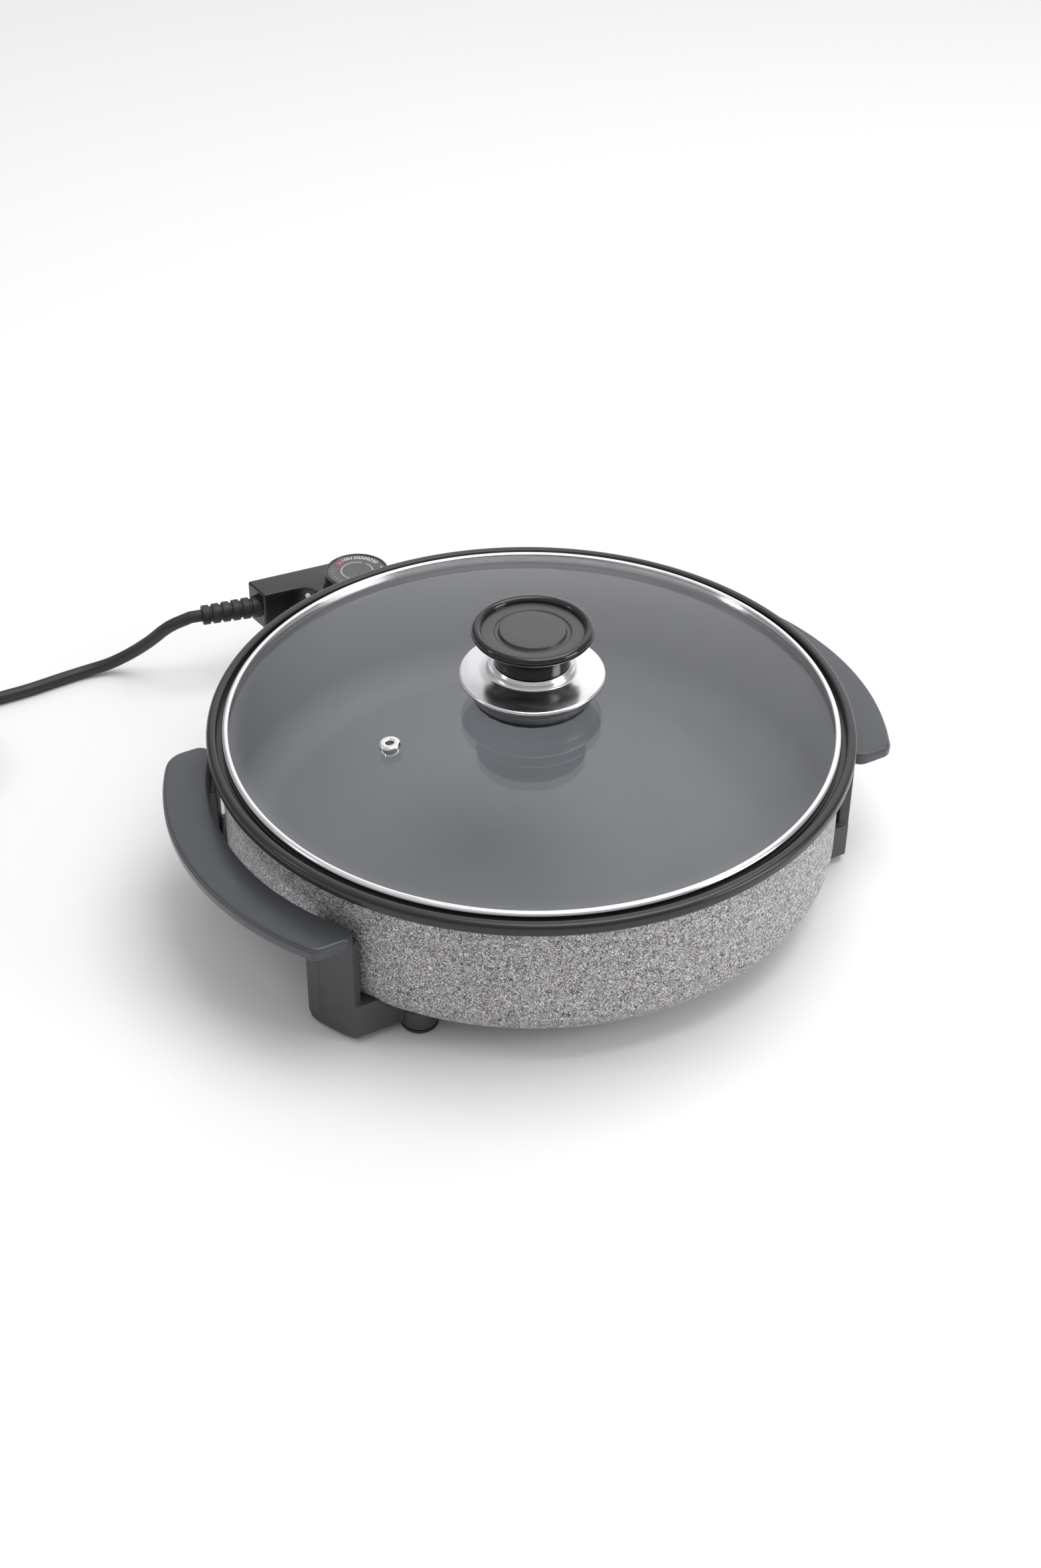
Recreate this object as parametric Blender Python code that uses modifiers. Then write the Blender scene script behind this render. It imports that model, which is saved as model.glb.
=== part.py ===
"""Electric pan with a glass lid, two handles on legs and a plug-in thermostat on a cord.

Metres, +Z up. The pieces are placed about the pan's axis, with z = 0 on the table, and hang
from one empty that moves the pan's axis so that the origin is under the middle of the object.
"""
import math

import bmesh
import bpy
from mathutils import Matrix, Vector

# Clearances
GAP = 0.0003
LEG_GAP = 0.0005
SLIDE_GAP = 0.0008

# Pan
PAN_RADIUS = 0.173
PAN_HEIGHT = 0.0863
PAN_CLEARANCE = 0.015
PAN_WALL = 0.004
PAN_BASE = 0.005
PAN_CORNER = 0.020
PAN_INNER_CORNER = 0.022
RIM_OVERHANG = 0.007
RIM_HEIGHT = 0.0068
RIM_LIP = 0.0055
SEAT_DEPTH = 0.0047
PAN_STEPS = 48

# Lid
LID_CLEARANCE = 0.0029
BAND_METAL = 0.0007
BAND_LIP = 0.0038
GLASS_THICKNESS = 0.0036
GLASS_RISE = 0.0144
GLASS_FLANGE = 0.0066
VENT_OFFSET = 0.088
VENT_BORE = 0.0021
VENT_BARREL = 0.0040
VENT_FLANGE = 0.0060
VENT_FLANGE_HEIGHT = 0.0022

# Knob
KNOB_RADIUS = 0.0335
KNOB_BEAD = 0.0028
KNOB_NECK = 0.0212
KNOB_HEIGHT = 0.0217
KNOB_BORE_DEPTH = 0.012
SKIRT_RADIUS = 0.0408
SKIRT_HEIGHT = 0.0092
SKIRT_METAL = 0.001
CUP_TOP_RADIUS = 0.038
CUP_BOTTOM_RADIUS = 0.033
CUP_HEIGHT = 0.0112
GASKET_THICKNESS = 0.0016
GASKET_WIDTH = 0.0055
KNOB_SCREW_RADIUS = 0.0022
KNOB_SCREW_HOLE = 0.0035

# Handles
GRIP_REACH = PAN_RADIUS + 0.0353
GRIP_FALL = 0.0036
GRIP_HALF_WIDTH = 0.095
GRIP_INNER = PAN_RADIUS + 0.009
GRIP_TOP = 0.0769
GRIP_THICKNESS = 0.0073
GRIP_ARC = math.asin((GRIP_HALF_WIDTH - 0.0103) / GRIP_REACH)
GRIP_INNER_ARC = math.asin((GRIP_HALF_WIDTH - 0.0125) / GRIP_INNER)
GRIP_REAR_ROUNDING = 0.016
GRIP_FRONT_ROUNDING = 0.008

# Legs and feet
LEG_OUTER = PAN_RADIUS + 0.010
LEG_INNER = PAN_RADIUS + 0.004
LEG_ANGLE = math.radians(25)
LEG_WIDTH = 0.032
LEG_BOTTOM = 0.0006
LEG_CORNER = 0.0045
STRAP_CORNER = 0.010
ARM_BOTTOM = 0.0038
ARM_TOP = 0.0265
ARM_FRONT = 0.0925
ARM_WIDTH = 0.027
ARM_ROUNDING = 0.0025
TAB_THICKNESS = 0.004
TAB_REACH = PAN_RADIUS + 0.019
FOOT_X = PAN_RADIUS - 0.052
FOOT_Y = 0.0925
FOOT_RADIUS = 0.0101
PAD_HEIGHT = 0.0027
SCREW_SHANK = 0.0019
SCREW_HEAD = 0.0040
SCREW_HEAD_HEIGHT = 0.003

# Heating element, its pins and the socket they stand in
ELEMENT_TUBE = 0.004
ELEMENT_RADIUS = 0.105
PIN_X = 0.012
PIN_RADIUS = 0.0024
PIN_START = PAN_RADIUS + 0.003
PIN_LENGTH = 0.017
GUARD_WIDTH = 0.054
GUARD_HEIGHT = 0.027
GUARD_BOTTOM = 0.003
GUARD_FRONT = PAN_RADIUS + 0.023
GUARD_BACK = PAN_RADIUS - 0.015
GUARD_WALL = 0.0028
GUARD_DEPTH = 0.0125
SLEEVE_LENGTH = 0.030
PROBE_RADIUS = 0.0029
PROBE_TIP = PAN_RADIUS - 0.044

# Thermostat controller
BODY_HALF_WIDTH = 0.024
BODY_FRONT = GUARD_FRONT + 0.001
BODY_BACK = BODY_FRONT + 0.0575
BODY_BOTTOM = 0.0032
BODY_SPLIT = 0.0365
BODY_TOP = 0.0628
BODY_WALL = 0.0025
BODY_CORNER = 0.012
ARM_SLOPE = math.radians(-5.3)
ARM_END_X = -0.0577
ARM_END_SKEW = 0.0024
CONTROL_ARM_WIDTH = 0.020
ARM_FILLET = 0.013
NOSE_DEPTH = 0.0125
DIAL_Y = BODY_FRONT + 0.0215
DIAL_RADIUS = 0.020
DIAL_BASE_RADIUS = 0.0216
DIAL_HEIGHT = 0.0133
SHAFT_RADIUS = 0.003
CASE_SCREW_X = 0.0165
CASE_SCREW_Y = BODY_FRONT + 0.016
LAMP_RADIUS = 0.002
LAMP_HEIGHT = 0.0575

# Cord: the route runs in the pan's own frame, from the strain relief to the coil
CORD_DIAMETER = 0.0078
RELIEF_START = Vector((-0.0565, BODY_BACK - 0.005, 0.0495))
RELIEF_DIRECTION = Vector((-0.978, 0.206, 0.0)).normalized()
RELIEF_LENGTH = 0.035
RELIEF_RADIUS = 0.0069
RELIEF_INSIDE = 0.006
RELIEF_FLANGE = 0.0008
RELIEF_RIBS = 6
CORD_ROUTE = [
    (-0.1100, 0.2650, 0.0425),
    (-0.1200, 0.2760, 0.0282),
    (-0.1300, 0.2868, 0.0158),
    (-0.1425, 0.2950, 0.0070),
    (-0.1580, 0.2985, 0.0042),
    (-0.1760, 0.2980, 0.0040),
    (-0.1950, 0.2968, 0.0040),
    (-0.2160, 0.2972, 0.0040),
    (-0.2380, 0.2983, 0.0040),
    (-0.2610, 0.2985, 0.0040),
]
CORD_STRAIGHT = 0.007
COIL_RADIUS = 0.043
PLUG_LENGTH = 0.036
PLUG_RADIUS = 0.0185
PLUG_PIN_LENGTH = 0.019
PLUG_PIN_RADIUS = 0.0024
PLUG_PIN_SPACING = 0.019

# Heights and radii that several pieces share
RIM_TOP = PAN_CLEARANCE + PAN_HEIGHT
RIM_RADIUS = PAN_RADIUS + RIM_OVERHANG
RIM_BOTTOM = RIM_TOP - RIM_HEIGHT
SEAT_Z = RIM_TOP - SEAT_DEPTH
LIP_RADIUS = RIM_RADIUS - RIM_LIP
BAND_RADIUS = LIP_RADIUS - LID_CLEARANCE
BAND_BOTTOM = SEAT_Z + GAP
BAND_TOP = BAND_BOTTOM + 2 * (BAND_METAL + GAP) + GLASS_THICKNESS
GLASS_RADIUS = BAND_RADIUS - BAND_METAL - GAP
GLASS_EDGE_TOP = BAND_TOP - BAND_METAL - GAP
GLASS_DOME = GLASS_RADIUS - GLASS_FLANGE
GLASS_APEX = GLASS_EDGE_TOP + GLASS_RISE
ELEMENT_Z = PAN_CLEARANCE - GAP - ELEMENT_TUBE
GRIP_BOTTOM = GRIP_TOP - GRIP_THICKNESS


# Helpers

def clear_scene():
    for obj in list(bpy.data.objects):
        bpy.data.objects.remove(obj, do_unlink=True)


def make_collection(name):
    group = bpy.data.collections.new(name)
    bpy.context.scene.collection.children.link(group)
    return group


def make_material(name, colour, roughness, metallic=0.0):
    mat = bpy.data.materials.new(name)
    mat.use_nodes = True
    shader = mat.node_tree.nodes["Principled BSDF"]
    shader.inputs["Base Color"].default_value = (*colour, 1.0)
    shader.inputs["Roughness"].default_value = roughness
    shader.inputs["Metallic"].default_value = metallic
    mat.diffuse_color = (*colour, 1.0)
    return mat


def add_object(name, data, mat, group=None):
    obj = bpy.data.objects.new(name, data)
    (group or PARTS).objects.link(obj)
    if mat:
        data.materials.append(mat)
    return obj


def as_cutter(obj):
    for group in list(obj.users_collection):
        group.objects.unlink(obj)
    CUTTERS.objects.link(obj)
    obj.hide_render = True
    obj.display_type = 'WIRE'
    return obj


def arc(centre_r, centre_z, radius, start, end, count):
    """Points on an arc from one angle to another, in degrees."""
    points = []
    for i in range(count + 1):
        angle = math.radians(start + (end - start) * i / count)
        points.append((centre_r + radius * math.cos(angle), centre_z + radius * math.sin(angle)))
    return points


def rounded(corners, count=5):
    """An outline whose corners (x, y, radius) are rounded where the radius isn't zero."""
    points = []
    total = len(corners)
    for i, (x, y, radius) in enumerate(corners):
        here = Vector((x, y))
        if radius == 0:
            points.append((x, y))
            continue
        to_last = (Vector(corners[i - 1][:2]) - here).normalized()
        to_next = (Vector(corners[(i + 1) % total][:2]) - here).normalized()
        half = to_last.angle(to_next) / 2
        start = here + to_last * radius / math.tan(half)
        end = here + to_next * radius / math.tan(half)
        centre = here + (to_last + to_next).normalized() * radius / math.sin(half)
        for j in range(count + 1):
            mixed = (start - centre).lerp(end - centre, j / count)
            point = centre + mixed.normalized() * radius
            points.append((point.x, point.y))
    return points


def turned(name, profile, mat, steps=32, closed=False):
    """A profile of (radius, height) points turned about Z; it runs down its outer side."""
    mesh = bpy.data.meshes.new(name)
    edges = [(i, i + 1) for i in range(len(profile) - 1)]
    if closed:
        edges.append((len(profile) - 1, 0))
    mesh.from_pydata([(r, 0, z) for r, z in profile], edges, [])
    obj = add_object(name, mesh, mat)
    screw = obj.modifiers.new("turn", 'SCREW')
    screw.steps = steps
    screw.render_steps = steps
    screw.use_merge_vertices = True
    screw.merge_threshold = 0.00001
    screw.use_smooth_shade = True
    return obj


def box(name, low, high, mat, bevel=0.0):
    size = Vector(high) - Vector(low)
    mesh = bpy.data.meshes.new(name)
    bm = bmesh.new()
    bmesh.ops.create_cube(bm, size=1.0)
    bmesh.ops.scale(bm, vec=size, verts=bm.verts)
    bm.to_mesh(mesh)
    bm.free()
    obj = add_object(name, mesh, mat)
    obj.location = Vector(low) + size / 2
    if bevel:
        add_bevel(obj, bevel)
    return obj


def rod(name, start, end, radius, mat, sides=16):
    """A closed cylinder between two points."""
    start, end = Vector(start), Vector(end)
    mesh = bpy.data.meshes.new(name)
    bm = bmesh.new()
    length = (end - start).length
    bmesh.ops.create_cone(bm, cap_ends=True, segments=sides, radius1=radius, radius2=radius, depth=length)
    bm.to_mesh(mesh)
    bm.free()
    mesh.shade_smooth()
    mesh.set_sharp_from_angle(angle=math.radians(40))
    obj = add_object(name, mesh, mat)
    obj.location = (start + end) / 2
    obj.rotation_euler = (end - start).to_track_quat('Z', 'Y').to_euler()
    return obj


def plate(name, outline, bottom, top, mat, bevel=0.0):
    """A flat outline given height, as a mesh whose caps are welded; the edges can be rounded."""
    curve = bpy.data.curves.new(name, 'CURVE')
    curve.dimensions = '2D'
    curve.fill_mode = 'BOTH'
    curve.extrude = (top - bottom) / 2 - bevel
    curve.bevel_depth = bevel
    curve.bevel_resolution = 1
    curve.offset = -bevel
    spline = curve.splines.new('POLY')
    spline.points.add(len(outline) - 1)
    for point, (x, y) in zip(spline.points, outline):
        point.co = (x, y, 0, 1)
    spline.use_cyclic_u = True
    return curve_to_mesh(name, curve, mat, Vector((0, 0, (top + bottom) / 2)))


def tube(name, points, radius, mat, resolution=2):
    """A round rod along a smooth line, with filled ends."""
    curve = bpy.data.curves.new(name, 'CURVE')
    curve.dimensions = '3D'
    curve.bevel_depth = radius
    curve.bevel_resolution = resolution
    curve.use_fill_caps = True
    spline = curve.splines.new('POLY')
    spline.points.add(len(points) - 1)
    for point, place in zip(spline.points, points):
        point.co = (*place, 1)
    return curve_to_mesh(name, curve, mat, Vector())


def curve_to_mesh(name, curve, mat, location):
    source = bpy.data.objects.new(name + "_curve", curve)
    PARTS.objects.link(source)
    source.location = location
    bpy.context.view_layer.update()
    graph = bpy.context.evaluated_depsgraph_get()
    mesh = bpy.data.meshes.new_from_object(source.evaluated_get(graph))
    bm = bmesh.new()
    bm.from_mesh(mesh)
    bmesh.ops.remove_doubles(bm, verts=bm.verts, dist=0.00001)
    bmesh.ops.recalc_face_normals(bm, faces=bm.faces)
    bm.to_mesh(mesh)
    bm.free()
    mesh.shade_smooth()
    mesh.set_sharp_from_angle(angle=math.radians(40))
    obj = add_object(name, mesh, mat)
    obj.matrix_world = source.matrix_world.copy()
    bpy.data.objects.remove(source, do_unlink=True)
    return obj


def smooth_line(route, spacing):
    """Evenly spaced points on a centripetal Catmull-Rom curve through the route's points."""
    nodes = [Vector(p) for p in route]
    nodes.insert(0, 2 * nodes[0] - nodes[1])
    nodes.append(2 * nodes[-1] - nodes[-2])
    fine = []
    for a, b, c, d in zip(nodes, nodes[1:], nodes[2:], nodes[3:]):
        knots = [0.0]
        for p, q in ((a, b), (b, c), (c, d)):
            knots.append(knots[-1] + math.sqrt((q - p).length))
        for step in range(12):
            fine.append(catmull_point((a, b, c, d), knots, step / 12))
    fine.append(nodes[-2])
    return resample(fine, spacing)


def catmull_point(points, knots, share):
    t = knots[1] + (knots[2] - knots[1]) * share
    level = list(points)
    for span in (1, 2, 3):
        level = [level[i].lerp(level[i + 1], blend(t, knots, i, span)) for i in range(len(level) - 1)]
    return level[0]


def blend(t, knots, index, span):
    """Where t lies between the two knots that one step of the curve's pyramid uses."""
    low = {1: index, 2: index, 3: 1}[span]
    high = {1: index + 1, 2: index + 2, 3: 2}[span]
    return (t - knots[low]) / (knots[high] - knots[low])


def resample(points, spacing):
    lengths = [0.0]
    for p, q in zip(points, points[1:]):
        lengths.append(lengths[-1] + (q - p).length)
    count = max(2, round(lengths[-1] / spacing))
    result = []
    at = 0
    for i in range(count + 1):
        target = lengths[-1] * i / count
        while at < len(points) - 2 and lengths[at + 1] < target:
            at += 1
        share = (target - lengths[at]) / (lengths[at + 1] - lengths[at])
        result.append(points[at].lerp(points[at + 1], share))
    return result


def add_bevel(obj, width, segments=2):
    bevel = obj.modifiers.new("round", 'BEVEL')
    bevel.width = width
    bevel.segments = segments
    bevel.limit_method = 'ANGLE'
    bevel.angle_limit = math.radians(50)
    return bevel


def boolean(obj, other, operation='DIFFERENCE'):
    as_cutter(other)
    cut = obj.modifiers.new(operation.lower(), 'BOOLEAN')
    cut.operation = operation
    cut.solver = 'EXACT'
    cut.object = other
    return obj


def bake(obj):
    """Replace an object's mesh by its evaluated mesh, in place and with no modifiers left."""
    bpy.context.view_layer.update()
    graph = bpy.context.evaluated_depsgraph_get()
    mesh = bpy.data.meshes.new_from_object(obj.evaluated_get(graph))
    obj.modifiers.clear()
    obj.data = mesh
    return obj


def mirrored(obj, name, sign_x, sign_y):
    """A copy of a baked piece mirrored in X, in Y or in both."""
    mesh = obj.data.copy()
    mesh.transform(Matrix.Diagonal((sign_x, sign_y, 1, 1)) @ obj.matrix_world)
    if sign_x * sign_y < 0:
        mesh.flip_normals()
    copy = bpy.data.objects.new(name, mesh)
    PARTS.objects.link(copy)
    return copy


def copy_at(obj, name, place):
    copy = bpy.data.objects.new(name, obj.data)
    for modifier in obj.modifiers:
        new = copy.modifiers.new(modifier.name, modifier.type)
        for key in ("steps", "render_steps", "use_merge_vertices", "merge_threshold", "use_smooth_shade"):
            setattr(new, key, getattr(modifier, key))
    PARTS.objects.link(copy)
    copy.location = place
    return copy


def screw_profile(shank, head, head_height, length):
    """A screw that points up, its head's underside at zero, with a rounded head below."""
    return [(0, length), (shank * 0.6, length), (shank, length - shank * 0.5), (shank, 0),
            (head, 0), (head, -head_height * 0.5), (head * 0.75, -head_height), (0, -head_height)]


# Pan

def pan_outline(grow=0.0):
    """The outside of the pan under its rim, from the wall to the middle of the base."""
    radius = PAN_CORNER + grow
    corner = arc(PAN_RADIUS - PAN_CORNER, PAN_CLEARANCE + PAN_CORNER, radius, 0, -90, 5)
    return corner + [(0, PAN_CLEARANCE - grow)]


def pan():
    inner = PAN_RADIUS - PAN_WALL
    floor = PAN_CLEARANCE + PAN_BASE
    corner = PAN_INNER_CORNER
    profile = [(0, floor)]
    profile += arc(inner - corner, floor + corner, corner, -90, 0, 4)
    profile += [(inner, SEAT_Z), (LIP_RADIUS, SEAT_Z), (LIP_RADIUS, RIM_TOP - 0.001)]
    profile += [(LIP_RADIUS + 0.001, RIM_TOP)]
    profile += arc(RIM_RADIUS - 0.0025, RIM_TOP - 0.0025, 0.0025, 90, 0, 2)
    profile += [(RIM_RADIUS, RIM_BOTTOM + 0.001), (RIM_RADIUS - 0.001, RIM_BOTTOM), (PAN_RADIUS, RIM_BOTTOM)]
    profile += pan_outline()
    obj = turned("pan", profile, COATING, PAN_STEPS)
    for x, y in mounting_points():
        top = PAN_CLEARANCE + 0.0042
        hole = rod("hole", (x, y, PAN_CLEARANCE - 0.002), (x, y, top), SCREW_SHANK + GAP, None, 12)
        boolean(obj, hole)
    return obj


def mounting_points():
    """Where screws enter the pan's base: at the four feet and at the socket guard."""
    feet = [(sx * FOOT_X, sy * FOOT_Y) for sx in (-1, 1) for sy in (-1, 1)]
    return feet + [(sx * guard_screw_x(), guard_screw_y()) for sx in (-1, 1)]


def guard_screw_x():
    return GUARD_WIDTH / 2 - 0.0055


def guard_screw_y():
    return GUARD_BACK - 0.006


# Lid

def dome(radius):
    """Height of the glass's upper face above its flat edge."""
    sphere = (GLASS_DOME ** 2 + GLASS_RISE ** 2) / (2 * GLASS_RISE)
    return GLASS_RISE - sphere + math.sqrt(sphere ** 2 - min(radius, GLASS_DOME) ** 2)


def lid_glass():
    count = 4
    span = GLASS_DOME - KNOB_SCREW_HOLE
    radii = [KNOB_SCREW_HOLE + span * i / count for i in range(count + 1)]
    upper = [(r, GLASS_EDGE_TOP + dome(r)) for r in radii]
    lower = [(r, z - GLASS_THICKNESS) for r, z in reversed(upper)]
    chamfer = 0.0006
    upper += [(GLASS_RADIUS - chamfer, GLASS_EDGE_TOP), (GLASS_RADIUS, GLASS_EDGE_TOP - chamfer)]
    upper += [(GLASS_RADIUS, GLASS_EDGE_TOP - GLASS_THICKNESS)]
    obj = turned("lid_glass", upper + lower, GLASS, PAN_STEPS, closed=True)
    z = GLASS_EDGE_TOP + dome(VENT_OFFSET)
    low, high = (-VENT_OFFSET, 0, z - 0.01), (-VENT_OFFSET, 0, z + 0.01)
    hole = rod("vent_hole", low, high, VENT_BARREL + GAP, None, 16)
    hole.rotation_euler = (0, -vent_tilt(), 0)
    boolean(obj, hole)
    return obj


def vent_tilt():
    """Slope of the glass where the vent is."""
    step = 0.001
    return math.atan((dome(VENT_OFFSET - step) - dome(VENT_OFFSET + step)) / (2 * step))


def lid_band():
    outer, lip, metal = BAND_RADIUS, BAND_RADIUS - BAND_LIP, BAND_METAL
    profile = [(lip, BAND_TOP)]
    profile += arc(outer - 0.0014, BAND_TOP - 0.0014, 0.0014, 90, 0, 2)
    profile += [(outer, BAND_BOTTOM), (lip, BAND_BOTTOM), (lip, BAND_BOTTOM + metal)]
    profile += [(outer - metal, BAND_BOTTOM + metal), (outer - metal, BAND_TOP - 0.0014)]
    profile += [(outer - 0.0014, BAND_TOP - metal), (lip, BAND_TOP - metal)]
    return turned("lid_band", profile, STEEL, PAN_STEPS, closed=True)


def vent_eyelet():
    """A steel grommet whose two flanges hold the glass, square to its slope."""
    half = GLASS_THICKNESS / 2 + GAP
    height = VENT_FLANGE_HEIGHT
    profile = [(VENT_BORE, half + height - 0.0006), (VENT_BORE + 0.0008, half + height)]
    profile += [(VENT_FLANGE - 0.0012, half + height), (VENT_FLANGE, half + height - 0.0012)]
    profile += [(VENT_FLANGE, half), (VENT_BARREL, half), (VENT_BARREL, -half)]
    profile += [(VENT_FLANGE - 0.0006, -half), (VENT_FLANGE - 0.0012, -half - 0.001)]
    profile += [(VENT_BORE, -half - 0.001)]
    obj = turned("vent_eyelet", profile, STEEL, 14, closed=True)
    obj.location = (-VENT_OFFSET, 0, GLASS_EDGE_TOP + dome(VENT_OFFSET) - GLASS_THICKNESS / 2)
    obj.rotation_euler = (0, -vent_tilt(), 0)
    return obj


def knob_levels():
    """Heights of the knob's stack on the glass: gasket, cup, skirt and knob."""
    inner = CUP_BOTTOM_RADIUS - 0.0005 - GASKET_WIDTH
    gasket = GLASS_EDGE_TOP + dome(inner) + GAP
    cup = gasket + GASKET_THICKNESS + GAP
    skirt = cup + CUP_HEIGHT + GAP
    knob = skirt + SKIRT_HEIGHT + GAP
    return gasket, cup, skirt, knob


def knob_gasket():
    bottom = knob_levels()[0]
    outer = CUP_BOTTOM_RADIUS - 0.0005
    inner = outer - GASKET_WIDTH
    top = bottom + GASKET_THICKNESS
    profile = [(inner, top), (outer, top), (outer, bottom), (inner, bottom)]
    return turned("knob_gasket", profile, RUBBER, 24, True)


def knob_cup():
    """The steel cup that spaces the skirt off the glass."""
    bottom = knob_levels()[1]
    top = bottom + CUP_HEIGHT
    hole = KNOB_SCREW_HOLE
    fall = CUP_TOP_RADIUS - CUP_BOTTOM_RADIUS
    side = [(CUP_TOP_RADIUS - fall * i * i / 9, top - CUP_HEIGHT * i / 3) for i in range(4)]
    inside = [(r - SKIRT_METAL, max(z, bottom + SKIRT_METAL)) for r, z in reversed(side)]
    profile = side + [(hole, bottom), (hole, bottom + SKIRT_METAL)] + inside
    return turned("knob_cup", profile, STEEL, 28, closed=True)


def knob_skirt():
    """The chromed saucer under the knob: a flat seat, a short collar and a sloping disc."""
    bottom = knob_levels()[2]
    top = bottom + SKIRT_HEIGHT
    metal = SKIRT_METAL
    hole = KNOB_SCREW_HOLE
    collar = KNOB_NECK + 0.0003
    outside = [(hole, top), (collar, top), (collar + 0.0014, top - 0.0012), (collar + 0.0018, top - 0.0038)]
    outside += [(SKIRT_RADIUS - 0.010, top - 0.0055), (SKIRT_RADIUS - 0.0018, top - 0.0068)]
    outside += [(SKIRT_RADIUS, top - 0.0080), (SKIRT_RADIUS - 0.0008, bottom)]
    inside = [(SKIRT_RADIUS - 0.0030, bottom), (SKIRT_RADIUS - 0.010, top - 0.0055 - metal)]
    inside += [(collar + 0.0010, top - 0.0038 - metal)]
    inside += [(collar - metal * 0.5, top - metal), (hole, top - metal)]
    return turned("knob_skirt", outside + inside, CHROME, 28, closed=True)


def knob():
    bottom = knob_levels()[3]
    bead_z = bottom + KNOB_HEIGHT - KNOB_BEAD
    bead_r = KNOB_RADIUS - KNOB_BEAD
    face = bead_z - 0.0004
    bore = KNOB_SCREW_RADIUS + GAP
    profile = [(0, bead_z + 0.0006), (0.0178, bead_z + 0.0006), (0.0184, face - 0.0006)]
    profile += [(0.0208, face - 0.0006), (0.0213, face), (bead_r - 0.0022, face)]
    profile += arc(bead_r, bead_z, KNOB_BEAD, 150, -90, 8)
    profile += [(0.0262, bead_z - 0.0036), (0.0225, bead_z - 0.0062), (KNOB_NECK, bead_z - 0.0095)]
    bore_end = bottom + KNOB_BORE_DEPTH
    profile += [(KNOB_NECK, bottom), (bore, bottom), (bore, bore_end), (0, bore_end)]
    return turned("knob", profile, BLACK_GLOSS, 28)


def knob_fasteners():
    under = GLASS_APEX - GLASS_THICKNESS - GAP
    low = under - 0.0012
    ring = [(0.0030, under), (0.009, under), (0.009, low), (0.0030, low)]
    washer = turned("knob_washer", ring, STEEL, 16, True)
    length = knob_levels()[3] + KNOB_BORE_DEPTH - 0.001 - (low - GAP)
    screw = turned("knob_screw", screw_profile(KNOB_SCREW_RADIUS, 0.0052, 0.003, length), STEEL, 12)
    screw.location = (0, 0, low - GAP)
    return [washer, screw]


# Handles

def grip_outline():
    """The crescent seen from above: an outer arc, two square ends and an inner arc."""
    outer = []
    for i in range(13):
        angle = GRIP_ARC * (i / 6 - 1)
        reach = GRIP_REACH - GRIP_FALL * (angle / GRIP_ARC) ** 2
        outer.append((-reach * math.cos(angle), reach * math.sin(angle), 0))
    outer_end = math.sqrt((GRIP_REACH - GRIP_FALL * 1.25) ** 2 - GRIP_HALF_WIDTH ** 2)
    inner_end = math.sqrt((LEG_INNER + 0.0015) ** 2 - GRIP_HALF_WIDTH ** 2)
    inner = []
    span = GRIP_INNER_ARC
    for i in range(11):
        angle = span * (1 - i / 5)
        reach = GRIP_INNER - 0.0030 * (angle / span) ** 2
        inner.append((-reach * math.cos(angle), reach * math.sin(angle), 0))
    ends = [(-outer_end, GRIP_HALF_WIDTH, GRIP_REAR_ROUNDING), (-inner_end, GRIP_HALF_WIDTH, 0.007)]
    ends_low = [(-inner_end, -GRIP_HALF_WIDTH, 0.007), (-outer_end, -GRIP_HALF_WIDTH, GRIP_FRONT_ROUNDING)]
    return rounded(outer + ends + inner + ends_low)


def grips():
    left = plate("grip_left", grip_outline(), GRIP_BOTTOM, GRIP_TOP, HANDLE_PLASTIC, 0.0015)
    for sign in (-1, 1):
        x, y = tab_point()
        depth = (x, sign * y, GRIP_BOTTOM + 0.0045)
        boolean(left, rod("hole", (x, sign * y, GRIP_BOTTOM - 0.002), depth, SCREW_SHANK + GAP, None, 12))
    bake(left)
    return [left, mirrored(left, "grip_right", -1, 1)]


def tab_point():
    """The screw in a leg's tab, on the left front leg's side of the pan."""
    radius = LEG_OUTER + 0.0045
    return -radius * math.cos(LEG_ANGLE), radius * math.sin(LEG_ANGLE)


def leg_frame():
    """Axes of the front left leg's strap: along the wall, up, and straight out from the pan."""
    out = Vector((-math.cos(LEG_ANGLE), -math.sin(LEG_ANGLE), 0))
    along = Vector((math.sin(LEG_ANGLE), -math.cos(LEG_ANGLE), 0))
    up = Vector((0, 0, 1))
    frame = Matrix((along, up, along.cross(up))).transposed().to_4x4()
    sign = 1 if along.cross(up).dot(out) > 0 else -1
    return frame, out, sign


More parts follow.
